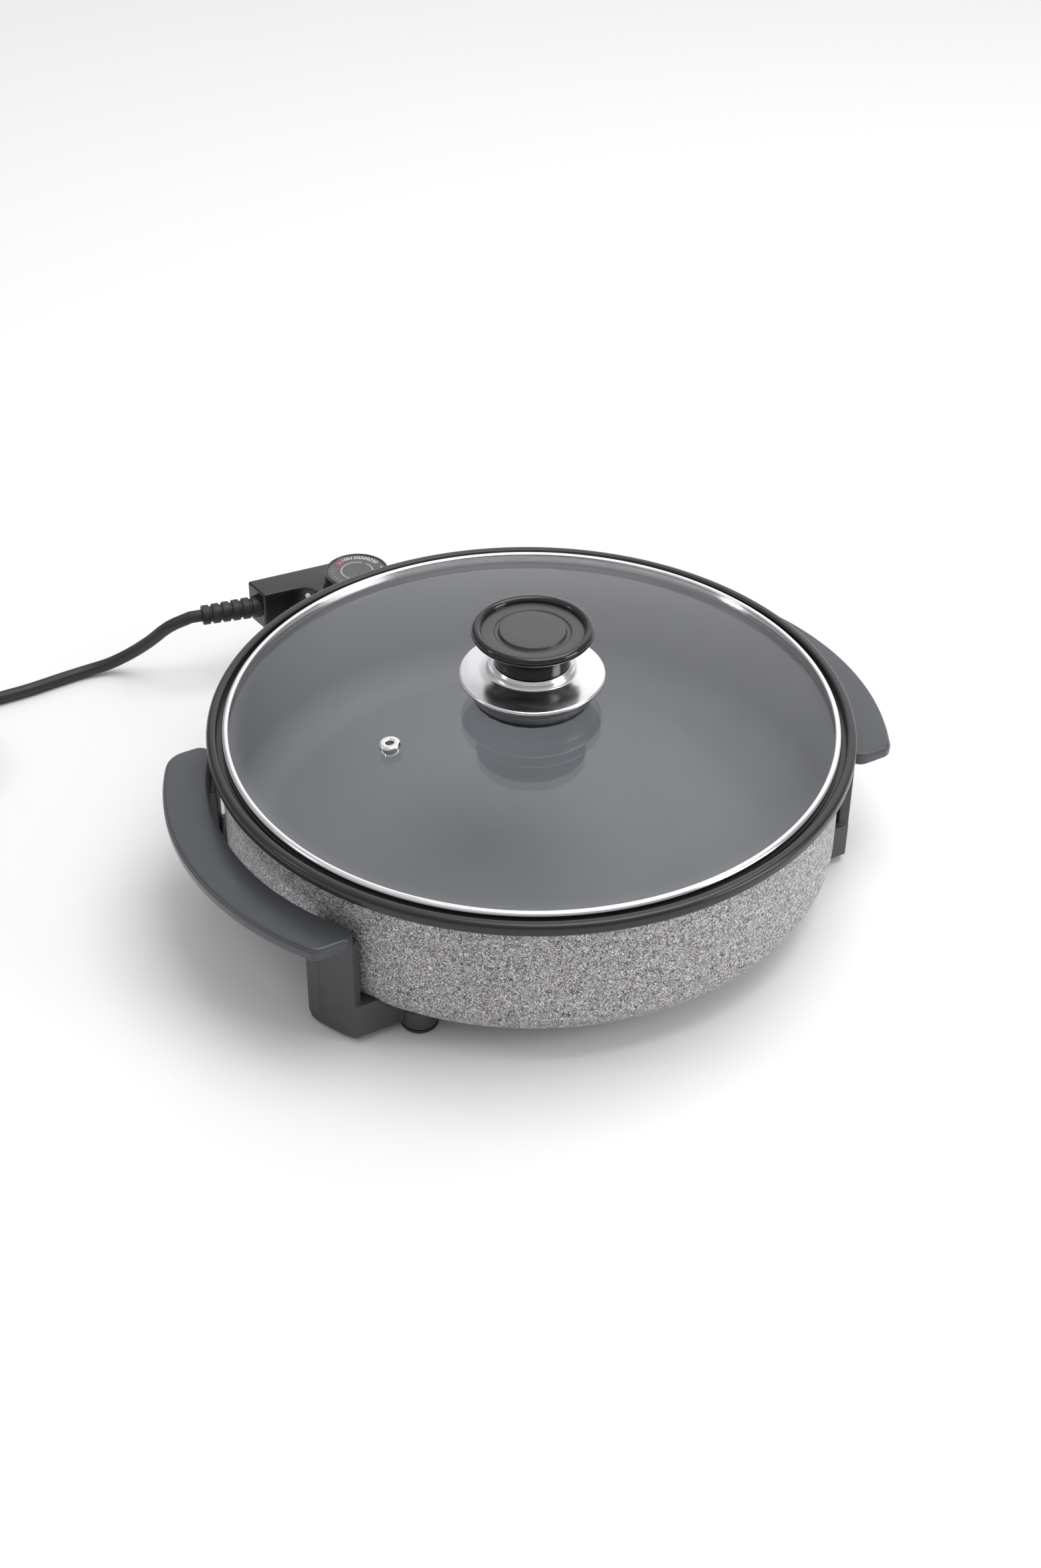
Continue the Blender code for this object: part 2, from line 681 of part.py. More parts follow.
def front_left_leg():
    """A strap up the wall to the grip, an arm under the pan and a boss that the foot is on."""
    top = GRIP_BOTTOM - GAP
    frame, out, sign = leg_frame()
    half = LEG_WIDTH / 2
    outline = [(-half, LEG_BOTTOM, STRAP_CORNER), (half * 0.3, LEG_BOTTOM, 0.012), (half, ARM_BOTTOM, 0)]
    outline += [(half, top, 0), (-half, top, 0)]
    middle = sign * (LEG_OUTER + LEG_INNER) / 2
    strap = plate("leg_front_left", rounded(outline), middle - 0.008, middle + 0.008, HANDLE_PLASTIC)
    strap.data.transform(frame @ strap.matrix_world)
    strap.matrix_world = Matrix()
    boolean(strap, leg_arm(), 'UNION')
    boolean(strap, leg_envelope(), 'INTERSECT')
    boolean(strap, leg_clearance())
    tab_low = top - TAB_THICKNESS
    tab = box("tab", (LEG_INNER + 0.001, -0.010, tab_low), (TAB_REACH, 0.010, top), None)
    tab.data.transform(tab.matrix_basis)
    tab.location = (0, 0, 0)
    tab.rotation_euler = (0, 0, math.atan2(out.y, out.x))
    boolean(strap, tab, 'UNION')
    foot = (-FOOT_X, -FOOT_Y)
    boss_low, boss_top = PAD_HEIGHT + GAP, PAN_CLEARANCE - GAP
    boolean(strap, rod("boss", (*foot, boss_low), (*foot, boss_top), FOOT_RADIUS, None, 20), 'UNION')
    boolean(strap, rod("bore", (*foot, 0), (*foot, 0.02), SCREW_SHANK + GAP, None, 12))
    boolean(strap, rod("sink", (*foot, 0), (*foot, head_seat() + GAP), SCREW_HEAD + GAP, None, 16))
    x, y = tab_point()
    hole_low, hole_high = (x, -y, tab_low - 0.004), (x, -y, top + 0.002)
    boolean(strap, rod("tab_hole", hole_low, hole_high, SCREW_SHANK + GAP, None, 12))
    return bake(strap)


def leg_arm():
    """The bar from the strap to the foot, with its outer lower edge rounded."""
    front, back = -ARM_FRONT, -ARM_FRONT + ARM_WIDTH
    section = [(front, ARM_BOTTOM, ARM_ROUNDING), (back, ARM_BOTTOM, 0)]
    section += [(back, ARM_TOP, 0), (front, ARM_TOP, 0)]
    arm = plate("arm", rounded(section), 0.001 - LEG_INNER, 0.004 - FOOT_X, None)
    turn = Matrix(((0, 0, 1, 0), (1, 0, 0, 0), (0, 1, 0, 0), (0, 0, 0, 1)))
    arm.data.transform(turn @ arm.matrix_world)
    arm.matrix_world = Matrix()
    return arm


def head_seat():
    """Height at which a leg screw's head bears in the boss."""
    return PAD_HEIGHT + 2 * GAP + SCREW_HEAD_HEIGHT


def leg_envelope():
    """The outside that the strap and the arm are trimmed to, with a rounded lower corner."""
    low = LEG_BOTTOM
    profile = [(0, 0.09), (LEG_OUTER, 0.09)]
    profile += arc(LEG_OUTER - LEG_CORNER, low + LEG_CORNER, LEG_CORNER, 0, -90, 6)
    profile += [(0, low)]
    return turned("leg_envelope", profile, None, 96)


def leg_clearance():
    """The space kept free inside the leg: a straight wall above the arm, then the pan's corner."""
    centre_r, centre_z = PAN_RADIUS - PAN_CORNER, PAN_CLEARANCE + PAN_CORNER
    radius = PAN_CORNER + LEG_GAP
    start = math.degrees(math.asin((ARM_TOP - centre_z) / radius))
    profile = [(0, 0.1), (LEG_INNER, 0.1), (LEG_INNER, ARM_TOP)]
    profile += arc(centre_r, centre_z, radius, start, -90, 6)
    profile += [(0, PAN_CLEARANCE - LEG_GAP)]
    return turned("leg_clearance", profile, None, PAN_STEPS)


def legs_and_feet():
    leg = front_left_leg()
    pieces = [leg]
    places = {"front_right": (1, -1), "rear_left": (-1, 1), "rear_right": (1, 1)}
    for label, (sx, sy) in places.items():
        pieces.append(mirrored(leg, "leg_" + label, -sx, -sy))
    radius, round_edge = FOOT_RADIUS, 0.0018
    profile = [(0, PAD_HEIGHT), (radius, PAD_HEIGHT), (radius, round_edge)]
    profile += [(radius - round_edge * 0.35, round_edge * 0.3), (radius - round_edge, 0), (0, 0)]
    pad = turned("foot_front_left", profile, RUBBER, 20)
    seat = head_seat()
    length = PAN_CLEARANCE + 0.0036 - seat
    leg_profile = screw_profile(SCREW_SHANK, SCREW_HEAD, SCREW_HEAD_HEIGHT, length)
    screw = turned("leg_screw_front_left", leg_profile, STEEL, 10)
    x, y = tab_point()
    tab_low = GRIP_BOTTOM - GAP - TAB_THICKNESS
    tab_profile = screw_profile(SCREW_SHANK, 0.0034, 0.0022, TAB_THICKNESS + 0.0042)
    tab_screw = turned("grip_screw_front_left", tab_profile, STEEL, 10)
    for obj, place in ((pad, (-FOOT_X, -FOOT_Y, 0)), (screw, (-FOOT_X, -FOOT_Y, seat)),
                       (tab_screw, (x, -y, tab_low - GAP))):
        obj.location = place
        pieces.append(obj)
        stem = obj.name.replace("_front_left", "_")
        for label, (sx, sy) in places.items():
            pieces.append(copy_at(obj, stem + label, (-sx * place[0], -sy * place[1], place[2])))
    return pieces


# Heating element and socket

def heating_element():
    """A tube bent to an open ring under the base, its two ends led out side by side."""
    half = []
    for i in range(20):
        angle = math.radians(-90 + 160 * i / 19)
        half.append((ELEMENT_RADIUS * math.cos(angle), ELEMENT_RADIUS * math.sin(angle), ELEMENT_Z))
    lead = [(0.0235, 0.1085, ELEMENT_Z), (PIN_X + 0.0035, 0.1195, ELEMENT_Z), (PIN_X, 0.133, ELEMENT_Z)]
    lead += [(PIN_X, PIN_START - 0.026, ELEMENT_Z), (PIN_X, PIN_START, ELEMENT_Z)]
    right = half[1:] + lead
    left = [(-x, y, z) for x, y, z in reversed(right)]
    route = left + [half[0]] + right
    return tube("heating_element", smooth_line(route, ELEMENT_TUBE * 5), ELEMENT_TUBE, ELEMENT_METAL)


def terminal_pins():
    pins = []
    for label, sign in (("left", -1), ("right", 1)):
        start = (sign * PIN_X, PIN_START + GAP, ELEMENT_Z)
        end = (sign * PIN_X, PIN_START + PIN_LENGTH, ELEMENT_Z)
        pins.append(rod("terminal_pin_" + label, start, end, PIN_RADIUS, STEEL, 16))
    return pins


def along_y(name, x, start, end, radius, sides=16):
    """A cylinder that cuts along Y at the pins' height."""
    return rod(name, (x, start, ELEMENT_Z), (x, end, ELEMENT_Z), radius, None, sides)


def socket_guard():
    """The housing behind the pan that shields the pins and guides the controller's nose."""
    half = GUARD_WIDTH / 2
    low, high = GUARD_BOTTOM, GUARD_BOTTOM + GUARD_HEIGHT
    guard = box("socket_guard", (-half, GUARD_BACK - 0.012, low), (half, GUARD_FRONT, high), BLACK_PLASTIC)
    above = [(0, 0.1), (PAN_RADIUS + LEG_GAP, 0.1)]
    space = turned("pan_space", above + pan_outline(LEG_GAP), None, PAN_STEPS)
    boolean(guard, space)
    wall = GUARD_WALL
    inner = (-half + wall, GUARD_FRONT - GUARD_DEPTH, low + wall - 0.0008)
    boolean(guard, box("socket", inner, (half - wall, GUARD_FRONT + 0.01, high - wall), None))
    for sign in (-1, 1):
        boolean(guard, along_y("lead_hole", sign * PIN_X, 0.14, 0.19, ELEMENT_TUBE + GAP))
    boolean(guard, along_y("probe_hole", 0, 0.14, 0.19, ELEMENT_TUBE + GAP))
    for sign in (-1, 1):
        x, y = sign * guard_screw_x(), guard_screw_y()
        boolean(guard, rod("bore", (x, y, 0), (x, y, 0.03), SCREW_SHANK + GAP, None, 12))
        boolean(guard, rod("sink", (x, y, 0), (x, y, head_seat() + GAP), SCREW_HEAD + GAP, None, 16))
    return guard


def guard_screws():
    seat = head_seat()
    length = PAN_CLEARANCE + 0.0036 - seat
    profile = screw_profile(SCREW_SHANK, SCREW_HEAD, SCREW_HEAD_HEIGHT, length)
    first = turned("guard_screw_left", profile, STEEL, 10)
    first.location = (-guard_screw_x(), guard_screw_y(), seat)
    return [first, copy_at(first, "guard_screw_right", (guard_screw_x(), guard_screw_y(), seat))]


def probe_sleeve():
    """The tube under the base that the controller's probe slides into."""
    outer, inner = ELEMENT_TUBE, PROBE_RADIUS + GAP
    profile = [(inner, SLEEVE_LENGTH), (outer, SLEEVE_LENGTH), (outer, 0), (inner, 0)]
    sleeve = turned("probe_sleeve", profile, ELEMENT_METAL, 20, closed=True)
    sleeve.location = (0, GUARD_BACK - 0.013, ELEMENT_Z)
    sleeve.rotation_euler = (math.radians(90), 0, 0)
    return sleeve


# Thermostat controller

def arm_line(x, side):
    """Y of the arm's outer (side 0) or inner (side 1) edge at a given x."""
    return BODY_BACK + math.tan(ARM_SLOPE) * x - side * CONTROL_ARM_WIDTH


def upper_outline():
    """The case from above: a body under the dial and an arm that the cord leaves."""
    half = BODY_HALF_WIDTH
    outer_end = (ARM_END_X, arm_line(ARM_END_X, 0), 0.0015)
    inner_x = ARM_END_X + ARM_END_SKEW
    inner_end = (inner_x, arm_line(inner_x, 1), 0.0015)
    elbow = (-half, arm_line(-half, 1), ARM_FILLET)
    body = [(-half, BODY_FRONT, 0.003), (half, BODY_FRONT, 0.003), (half, arm_line(half, 0), BODY_CORNER)]
    return rounded([outer_end, inner_end, elbow] + body, 6)


def case_posts(shell, bottom, top, radius):
    for sign in (-1, 1):
        place = (sign * CASE_SCREW_X, CASE_SCREW_Y)
        boolean(shell, rod("post", (*place, bottom), (*place, top), radius, None, 16), 'UNION')


def upper_shell():
    shell = plate("controller_upper_shell", upper_outline(), BODY_SPLIT, BODY_TOP, BLACK_GLOSS, 0.0012)
    half, wall = BODY_HALF_WIDTH - BODY_WALL, BODY_WALL
    ceiling = BODY_TOP - wall
    low = (-half, BODY_FRONT + wall, BODY_SPLIT - 0.01)
    boolean(shell, box("room", low, (half, BODY_BACK - 0.013, ceiling), None))
    reach, side = 0.028, CONTROL_ARM_WIDTH / 2 - 0.0022
    floor = BODY_SPLIT + wall
    room = box("arm_room", (-reach, -side, floor), (reach, side, ceiling), None)
    room.data.transform(room.matrix_basis)
    middle = ARM_END_X + reach + 0.004
    room.rotation_euler = (0, 0, ARM_SLOPE)
    room.location = (middle, arm_line(middle, 0.5), 0)
    boolean(shell, room)
    case_posts(shell, BODY_SPLIT + GAP, ceiling + 0.001, 0.0036)
    for sign in (-1, 1):
        place = (sign * CASE_SCREW_X, CASE_SCREW_Y)
        hole = rod("post_hole", (*place, 0), (*place, BODY_SPLIT + 0.009), SCREW_SHANK + GAP, None, 12)
        boolean(shell, hole)
    boolean(shell, rod("shaft_hole", (0, DIAL_Y, 0), (0, DIAL_Y, 0.1), SHAFT_RADIUS + GAP, None, 20))
    start = RELIEF_START - RELIEF_DIRECTION * RELIEF_INSIDE
    end = RELIEF_START + RELIEF_DIRECTION * RELIEF_LENGTH
    boolean(shell, rod("relief_hole", start, end, RELIEF_RADIUS + GAP, None, 24))
    behind = RELIEF_START - RELIEF_DIRECTION * (RELIEF_INSIDE + 0.002)
    seat = RELIEF_START - RELIEF_DIRECTION * (RELIEF_INSIDE - 0.0018 - GAP)
    boolean(shell, rod("flange_room", behind, seat, RELIEF_RADIUS + RELIEF_FLANGE + GAP, None, 24))
    place, inward = lamp_place()
    lamp_end = place + inward * 0.006
    boolean(shell, rod("lamp_hole", place - inward * 0.004, lamp_end, LAMP_RADIUS + GAP, None, 16))
    return shell


def lamp_place():
    """A point on the curved elbow of the case, and the direction into the case there."""
    centre = Vector((-BODY_HALF_WIDTH - ARM_FILLET, arm_line(-BODY_HALF_WIDTH, 1) - ARM_FILLET, LAMP_HEIGHT))
    inward = Vector((1, 1, 0)).normalized()
    return centre + inward * ARM_FILLET, inward


def pilot_lamp():
    """A small clear lens with a domed end and a stem in the case."""
    radius = LAMP_RADIUS
    profile = [(0, 0.0012), (radius * 0.6, 0.0009), (radius, 0), (radius, -0.005), (0, -0.005)]
    lamp = turned("pilot_lamp", profile, LAMP_LENS, 16)
    place, inward = lamp_place()
    lamp.location = place
    lamp.rotation_euler = (-inward).to_track_quat('Z', 'Y').to_euler()
    return lamp


def lower_shell():
    half, wall = BODY_HALF_WIDTH, BODY_WALL
    top = BODY_SPLIT - GAP
    back = BODY_BACK - 0.0005
    corners = [(-half, BODY_FRONT, 0.003), (half, BODY_FRONT, 0.003)]
    corners += [(half, back, BODY_CORNER), (-half, back, BODY_CORNER)]
    shell = plate("controller_lower_shell", rounded(corners, 4), BODY_BOTTOM, top, BLACK_GLOSS, 0.0012)
    nose_half = GUARD_WIDTH / 2 - GUARD_WALL - SLIDE_GAP
    nose_low = GUARD_BOTTOM + GUARD_WALL
    nose_high = GUARD_BOTTOM + GUARD_HEIGHT - GUARD_WALL - SLIDE_GAP
    tip = BODY_FRONT - NOSE_DEPTH
    nose = box("nose", (-nose_half, tip, nose_low), (nose_half, BODY_FRONT + 0.001, nose_high), None)
    boolean(shell, nose, 'UNION')
    room_low = (-half + wall, BODY_FRONT + wall, BODY_BOTTOM + wall)
    boolean(shell, box("room", room_low, (half - wall, back - wall - 0.0035, top + 0.01), None))
    case_posts(shell, BODY_BOTTOM + 0.001, top, 0.0044)
    for sign in (-1, 1):
        boolean(shell, along_y("contact_hole", sign * PIN_X, tip - 0.004, BODY_FRONT + 0.004, 0.0037))
        x = sign * CASE_SCREW_X
        hole = rod("post_hole", (x, CASE_SCREW_Y, 0), (x, CASE_SCREW_Y, 0.05), SCREW_SHANK + GAP, None, 12)
        boolean(shell, hole)
        sink_top = case_screw_seat() + GAP
        boolean(shell, rod("sink", (x, CASE_SCREW_Y, 0), (x, CASE_SCREW_Y, sink_top), 0.0037, None, 16))
    boolean(shell, along_y("probe_hole", 0, tip - 0.004, BODY_FRONT + 0.004, PROBE_RADIUS + GAP))
    return shell


def case_screw_seat():
    return BODY_BOTTOM + 0.0036


def case_screws():
    seat = case_screw_seat()
    length = BODY_SPLIT + 0.008 - seat
    first = turned("case_screw_left", screw_profile(SCREW_SHANK, 0.0034, 0.0024, length), STEEL, 10)
    first.location = (-CASE_SCREW_X, CASE_SCREW_Y, seat)
    return [first, copy_at(first, "case_screw_right", (CASE_SCREW_X, CASE_SCREW_Y, seat))]


def contact_sleeves():
    pieces = []
    length = 0.021
    profile = [(0.0027, length), (0.0034, length), (0.0034, 0), (0.0027, 0)]
    for label, sign in (("left", -1), ("right", 1)):
        sleeve = turned("contact_sleeve_" + label, profile, BRASS, 16, closed=True)
        sleeve.location = (sign * PIN_X, BODY_FRONT - NOSE_DEPTH + 0.001 + length, ELEMENT_Z)
        sleeve.rotation_euler = (math.radians(90), 0, 0)
        pieces.append(sleeve)
    return pieces


def switch_block():
    """The bimetal switch that the probe warms and the shaft sets."""
    low = (-0.011, DIAL_Y - 0.012, 0.0155)
    return box("thermostat_switch", low, (0.011, DIAL_Y + 0.012, 0.032), BROWN_PLASTIC, 0.001)


def sensor_probe():
    end = DIAL_Y - 0.002
    return rod("sensor_probe", (0, PROBE_TIP, ELEMENT_Z), (0, end, ELEMENT_Z), PROBE_RADIUS, STEEL, 16)


def dial():
    low = BODY_TOP + 0.0004
    high = low + DIAL_HEIGHT
    bore = SHAFT_RADIUS + GAP
    profile = [(0, high), (DIAL_RADIUS - 0.0012, high), (DIAL_RADIUS, high - 0.001)]
    profile += [(DIAL_RADIUS + 0.0004, low + 0.004), (DIAL_BASE_RADIUS, low)]
    profile += [(DIAL_BASE_RADIUS - 0.002, low), (DIAL_RADIUS - 0.002, high - 0.002)]
    profile += [(0.0056, high - 0.002), (0.0056, low), (bore, low), (bore, high - 0.003), (0, high - 0.003)]
    return turned("dial", profile, BLACK_GLOSS, 28)


def dial_shaft():
    low, high = 0.032 + GAP, BODY_TOP + DIAL_HEIGHT - 0.0032
    return rod("dial_shaft", (0, 0, low), (0, 0, high), SHAFT_RADIUS, STEEL, 20)


# Cord

def strain_relief():
    """A ribbed boot: a flange inside the case, then rings that shrink towards the cord."""
    inside = RELIEF_INSIDE
    flange = RELIEF_RADIUS + RELIEF_FLANGE
    profile = [(0, RELIEF_LENGTH), (CORD_DIAMETER / 2 + 0.0008, RELIEF_LENGTH)]
    pitch = (RELIEF_LENGTH - 0.003) / RELIEF_RIBS
    for i in range(RELIEF_RIBS):
        high = RELIEF_LENGTH - i * pitch
        radius = RELIEF_RADIUS - 0.0007 * (1 - i / RELIEF_RIBS)
        profile += [(radius, high - 0.0006), (radius, high - pitch * 0.6)]
        profile += [(radius - 0.0014, high - pitch * 0.7), (radius - 0.0014, high - pitch * 0.98)]
    profile += [(RELIEF_RADIUS, 0.0028), (RELIEF_RADIUS, -inside + 0.0018), (flange, -inside + 0.0018)]
    profile += [(flange, -inside), (0, -inside)]
    relief = turned("strain_relief", profile, RUBBER, 14)
    relief.location = RELIEF_START
    relief.rotation_euler = RELIEF_DIRECTION.to_track_quat('Z', 'Y').to_euler()
    return relief


def power_cord():
    start = RELIEF_START + RELIEF_DIRECTION * (RELIEF_LENGTH + GAP)
    near = start + RELIEF_DIRECTION * CORD_STRAIGHT
    points = [start] + smooth_line([near] + CORD_ROUTE, CORD_DIAMETER * 2)
    return tube("power_cord", points, CORD_DIAMETER / 2, RUBBER)


def coil_centre():
    """The coil's middle, where the cord's end meets the coil's outside and runs with its turns."""
    end = CORD_ROUTE[-1]
    reach = math.sqrt((COIL_RADIUS + CORD_DIAMETER) ** 2 - COIL_RADIUS ** 2) + GAP
    return end[0] - reach, end[1] - COIL_RADIUS - CORD_DIAMETER / 2


def cord_coil():
    """The rest of the cord, as the ring that its turns fill."""
    width = CORD_DIAMETER
    height = CORD_DIAMETER * (1 + math.sqrt(3) / 2) + 0.0002
    outer, inner = COIL_RADIUS + width, COIL_RADIUS - width
    cut = 0.002
    profile = [(inner + cut, height), (outer - cut, height), (outer, height - cut), (outer, cut)]
    profile += [(outer - cut, 0), (inner + cut, 0), (inner, cut), (inner, height - cut)]
    coil = turned("cord_coil", profile, RUBBER, 28, closed=True)
    coil.location = (*coil_centre(), 0)
    return coil


def plug():
    """A round two-pin plug lying beside the coil, its tail towards the coil."""
    tail = 0.016
    centre_x, centre_y = coil_centre()
    start_y = centre_y - math.sqrt((COIL_RADIUS + CORD_DIAMETER) ** 2 - (COIL_RADIUS - 0.0055) ** 2)
    length = PLUG_LENGTH + tail
    profile = [(0, 0), (0.0052, 0), (0.0064, -tail), (0.0120, -tail - 0.006), (PLUG_RADIUS, -tail - 0.016)]
    profile += [(PLUG_RADIUS, -length + 0.001), (PLUG_RADIUS - 0.001, -length), (0, -length)]
    body = turned("plug_body", profile, RUBBER, 20)
    place = Vector((centre_x - COIL_RADIUS, start_y - 0.0006, PLUG_RADIUS))
    body.location = place
    body.rotation_euler = (math.radians(-90), 0, 0)
    pieces = [body]
    face = place.y - length
    for label, sign in (("left", -1), ("right", 1)):
        x = place.x + sign * PLUG_PIN_SPACING / 2
        start = (x, face - GAP, place.z)
        end = (x, face - PLUG_PIN_LENGTH, place.z)
        pieces.append(rod("plug_pin_" + label, start, end, PLUG_PIN_RADIUS, STEEL, 12))
    return pieces


def pan_axis_y():
    """Y of the pan's axis when the origin is midway between the rim and the controller's back."""
    back = max(y for x, y in upper_outline())
    return (RIM_RADIUS - back) / 2


def build():
    base = [pan(), heating_element(), socket_guard(), probe_sleeve()]
    base += grips() + legs_and_feet() + terminal_pins() + guard_screws()
    lid = [lid_glass(), lid_band(), vent_eyelet(), knob_gasket(), knob_cup(), knob_skirt(), knob()]
    lid += knob_fasteners()
    controller = [upper_shell(), lower_shell(), pilot_lamp(), switch_block(), sensor_probe(), strain_relief()]
    controller += contact_sleeves() + case_screws() + [power_cord(), cord_coil()] + plug()
    root = bpy.data.objects.new("pan_axis", None)
    PARTS.objects.link(root)
    root.location = (0, pan_axis_y(), 0)
    axis = bpy.data.objects.new("dial_axis", None)
    PARTS.objects.link(axis)
    axis.parent = root
    axis.location = (0, DIAL_Y, 0)
    for obj in base + lid + controller:
        obj.parent = root
    for obj in (dial(), dial_shaft()):
        obj.parent = axis
    for obj in CUTTERS.objects:
        obj.parent = root


clear_scene()
PARTS = make_collection("electric_pan")
CUTTERS = make_collection("cutters")
COATING = make_material("hammered_coating", (0.33, 0.33, 0.34), 0.45, 0.3)
GLASS = make_material("glass", (0.80, 0.84, 0.84), 0.05)
STEEL = make_material("steel", (0.72, 0.72, 0.72), 0.25, 1.0)
CHROME = make_material("chrome", (0.85, 0.85, 0.86), 0.08, 1.0)
BRASS = make_material("brass", (0.78, 0.60, 0.28), 0.3, 1.0)
ELEMENT_METAL = make_material("element_metal", (0.25, 0.25, 0.24), 0.5, 0.9)
HANDLE_PLASTIC = make_material("handle_plastic", (0.085, 0.087, 0.092), 0.42)
BLACK_PLASTIC = make_material("black_plastic", (0.02, 0.02, 0.02), 0.5)
BLACK_GLOSS = make_material("black_gloss", (0.012, 0.012, 0.013), 0.12)
BROWN_PLASTIC = make_material("bakelite", (0.16, 0.08, 0.04), 0.4)
RUBBER = make_material("rubber", (0.03, 0.03, 0.03), 0.6)
LAMP_LENS = make_material("lamp_lens", (0.85, 0.80, 0.76), 0.1)
build()
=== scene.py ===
"""Looks of a round electric pan with a glass lid, on a pale floor in soft studio light."""
import math

import bmesh
import bpy
from mathutils import Matrix, Vector


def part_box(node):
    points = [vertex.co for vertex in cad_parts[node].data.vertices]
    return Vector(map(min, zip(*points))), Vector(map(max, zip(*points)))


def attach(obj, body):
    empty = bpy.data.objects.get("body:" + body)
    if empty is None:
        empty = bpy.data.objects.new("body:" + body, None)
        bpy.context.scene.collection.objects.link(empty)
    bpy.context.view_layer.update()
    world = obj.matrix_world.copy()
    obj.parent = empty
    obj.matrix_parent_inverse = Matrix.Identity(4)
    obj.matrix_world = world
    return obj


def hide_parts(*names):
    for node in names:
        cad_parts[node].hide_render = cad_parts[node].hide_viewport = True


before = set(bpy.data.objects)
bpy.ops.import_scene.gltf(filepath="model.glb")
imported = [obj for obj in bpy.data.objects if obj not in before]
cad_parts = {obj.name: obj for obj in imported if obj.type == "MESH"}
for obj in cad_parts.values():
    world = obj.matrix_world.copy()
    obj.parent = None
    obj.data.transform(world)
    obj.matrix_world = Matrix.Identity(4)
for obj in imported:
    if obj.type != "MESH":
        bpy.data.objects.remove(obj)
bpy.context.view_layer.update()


def middle(node):
    low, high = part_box(node)
    return (low + high) / 2


def radius_of(node):
    low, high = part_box(node)
    return (high.x - low.x) / 2


PAN_LOW, PAN_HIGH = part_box("pan")
AXIS = Vector((middle("pan").x, middle("pan").y, 0))
LID_TOP_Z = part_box("lid_band")[1].z
GAP = 0.0003
MITRE_LIMIT = 0.4


# Helpers: outlines

def arc(centre_x, centre_y, radius, start, end, count):
    points = []
    for i in range(count + 1):
        angle = math.radians(start + (end - start) * i / count)
        points.append((centre_x + radius * math.cos(angle), centre_y + radius * math.sin(angle)))
    return points


def rounded(corners, count=6, closed=False):
    """An outline whose corners (x, y, radius) are rounded where a radius is given."""
    points = []
    total = len(corners)
    for i, corner in enumerate(corners):
        here = Vector(corner[:2])
        radius = corner[2] if len(corner) > 2 else 0
        if not radius or (not closed and i in (0, total - 1)):
            points.append(tuple(here))
            continue
        to_last = (Vector(corners[i - 1][:2]) - here).normalized()
        to_next = (Vector(corners[(i + 1) % total][:2]) - here).normalized()
        half = to_last.angle(to_next) / 2
        start = here + to_last * radius / math.tan(half)
        end = here + to_next * radius / math.tan(half)
        centre = here + (to_last + to_next).normalized() * radius / math.sin(half)
        turn = (start - centre).angle_signed(end - centre)
        for j in range(count + 1):
            side = Matrix.Rotation(-turn * j / count, 2) @ (start - centre)
            points.append(tuple(centre + side))
    return points


def smooth_line(route, steps=8):
    """A centripetal Catmull-Rom curve through the route's points."""
    nodes = [Vector(p) for p in route]
    nodes.insert(0, 2 * nodes[0] - nodes[1])
    nodes.append(2 * nodes[-1] - nodes[-2])
    line = []
    for a, b, c, d in zip(nodes, nodes[1:], nodes[2:], nodes[3:]):
        t0, t1 = 0.0, math.sqrt((b - a).length)
        t2 = t1 + math.sqrt((c - b).length)
        t3 = t2 + math.sqrt((d - c).length)
        for step in range(steps):
            t = t1 + (t2 - t1) * step / steps
            p = a.lerp(b, (t - t0) / (t1 - t0))
            q = b.lerp(c, (t - t1) / (t2 - t1))
            r = c.lerp(d, (t - t2) / (t3 - t2))
            p = p.lerp(q, (t - t0) / (t2 - t0))
            q = q.lerp(r, (t - t1) / (t3 - t1))
            line.append(p.lerp(q, (t - t1) / (t2 - t1)))
    line.append(nodes[-2])
    return line


def length_of(line):
    return sum((q - p).length for p, q in zip(line, line[1:]))


# Helpers: meshes

def add_piece(name, mesh, materials, body, replaced=()):
    obj = bpy.data.objects.new(name, mesh)
    bpy.context.scene.collection.objects.link(obj)
    for material in materials:
        mesh.materials.append(material)
    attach(obj, body)
    if replaced:
        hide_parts(*replaced)
    return obj


def finish_mesh(mesh, angle=35):
    mesh.shade_smooth()
    mesh.set_sharp_from_angle(angle=math.radians(angle))
    return mesh


def lathe(name, profile, steps=128, closed=False, place=None, bands=((0, 0),), radial=None):
    """A profile of (radius, height) points turned about Z. A band (start, material index) colours
    the profile from that point on; radial(i, angle, radius) may change a point's radius."""
    mesh = bpy.data.meshes.new(name)
    bm = bmesh.new()
    rings = []
    for i, (r, z) in enumerate(profile):
        if r < 1e-6:
            rings.append([bm.verts.new((0, 0, z))])
            continue
        ring = []
        for k in range(steps):
            angle = 2 * math.pi * k / steps
            reach = radial(i, angle, r) if radial else r
            ring.append(bm.verts.new((reach * math.cos(angle), reach * math.sin(angle), z)))
        rings.append(ring)
    pairs = list(zip(rings, rings[1:]))
    if closed:
        pairs.append((rings[-1], rings[0]))
    for i, (upper, lower) in enumerate(pairs):
        index = [number for start, number in bands if start <= i][-1]
        for k in range(steps):
            after = (k + 1) % steps
            if len(upper) == 1:
                corners = (upper[0], lower[k], lower[after])
            elif len(lower) == 1:
                corners = (upper[k], lower[0], upper[after])
            else:
                corners = (upper[k], lower[k], lower[after], upper[after])
            face = bm.faces.new(corners)
            face.material_index = index
    bmesh.ops.recalc_face_normals(bm, faces=bm.faces)
    if place is not None:
        bmesh.ops.transform(bm, matrix=place, verts=bm.verts)
    bm.to_mesh(mesh)
    bm.free()
    return finish_mesh(mesh)


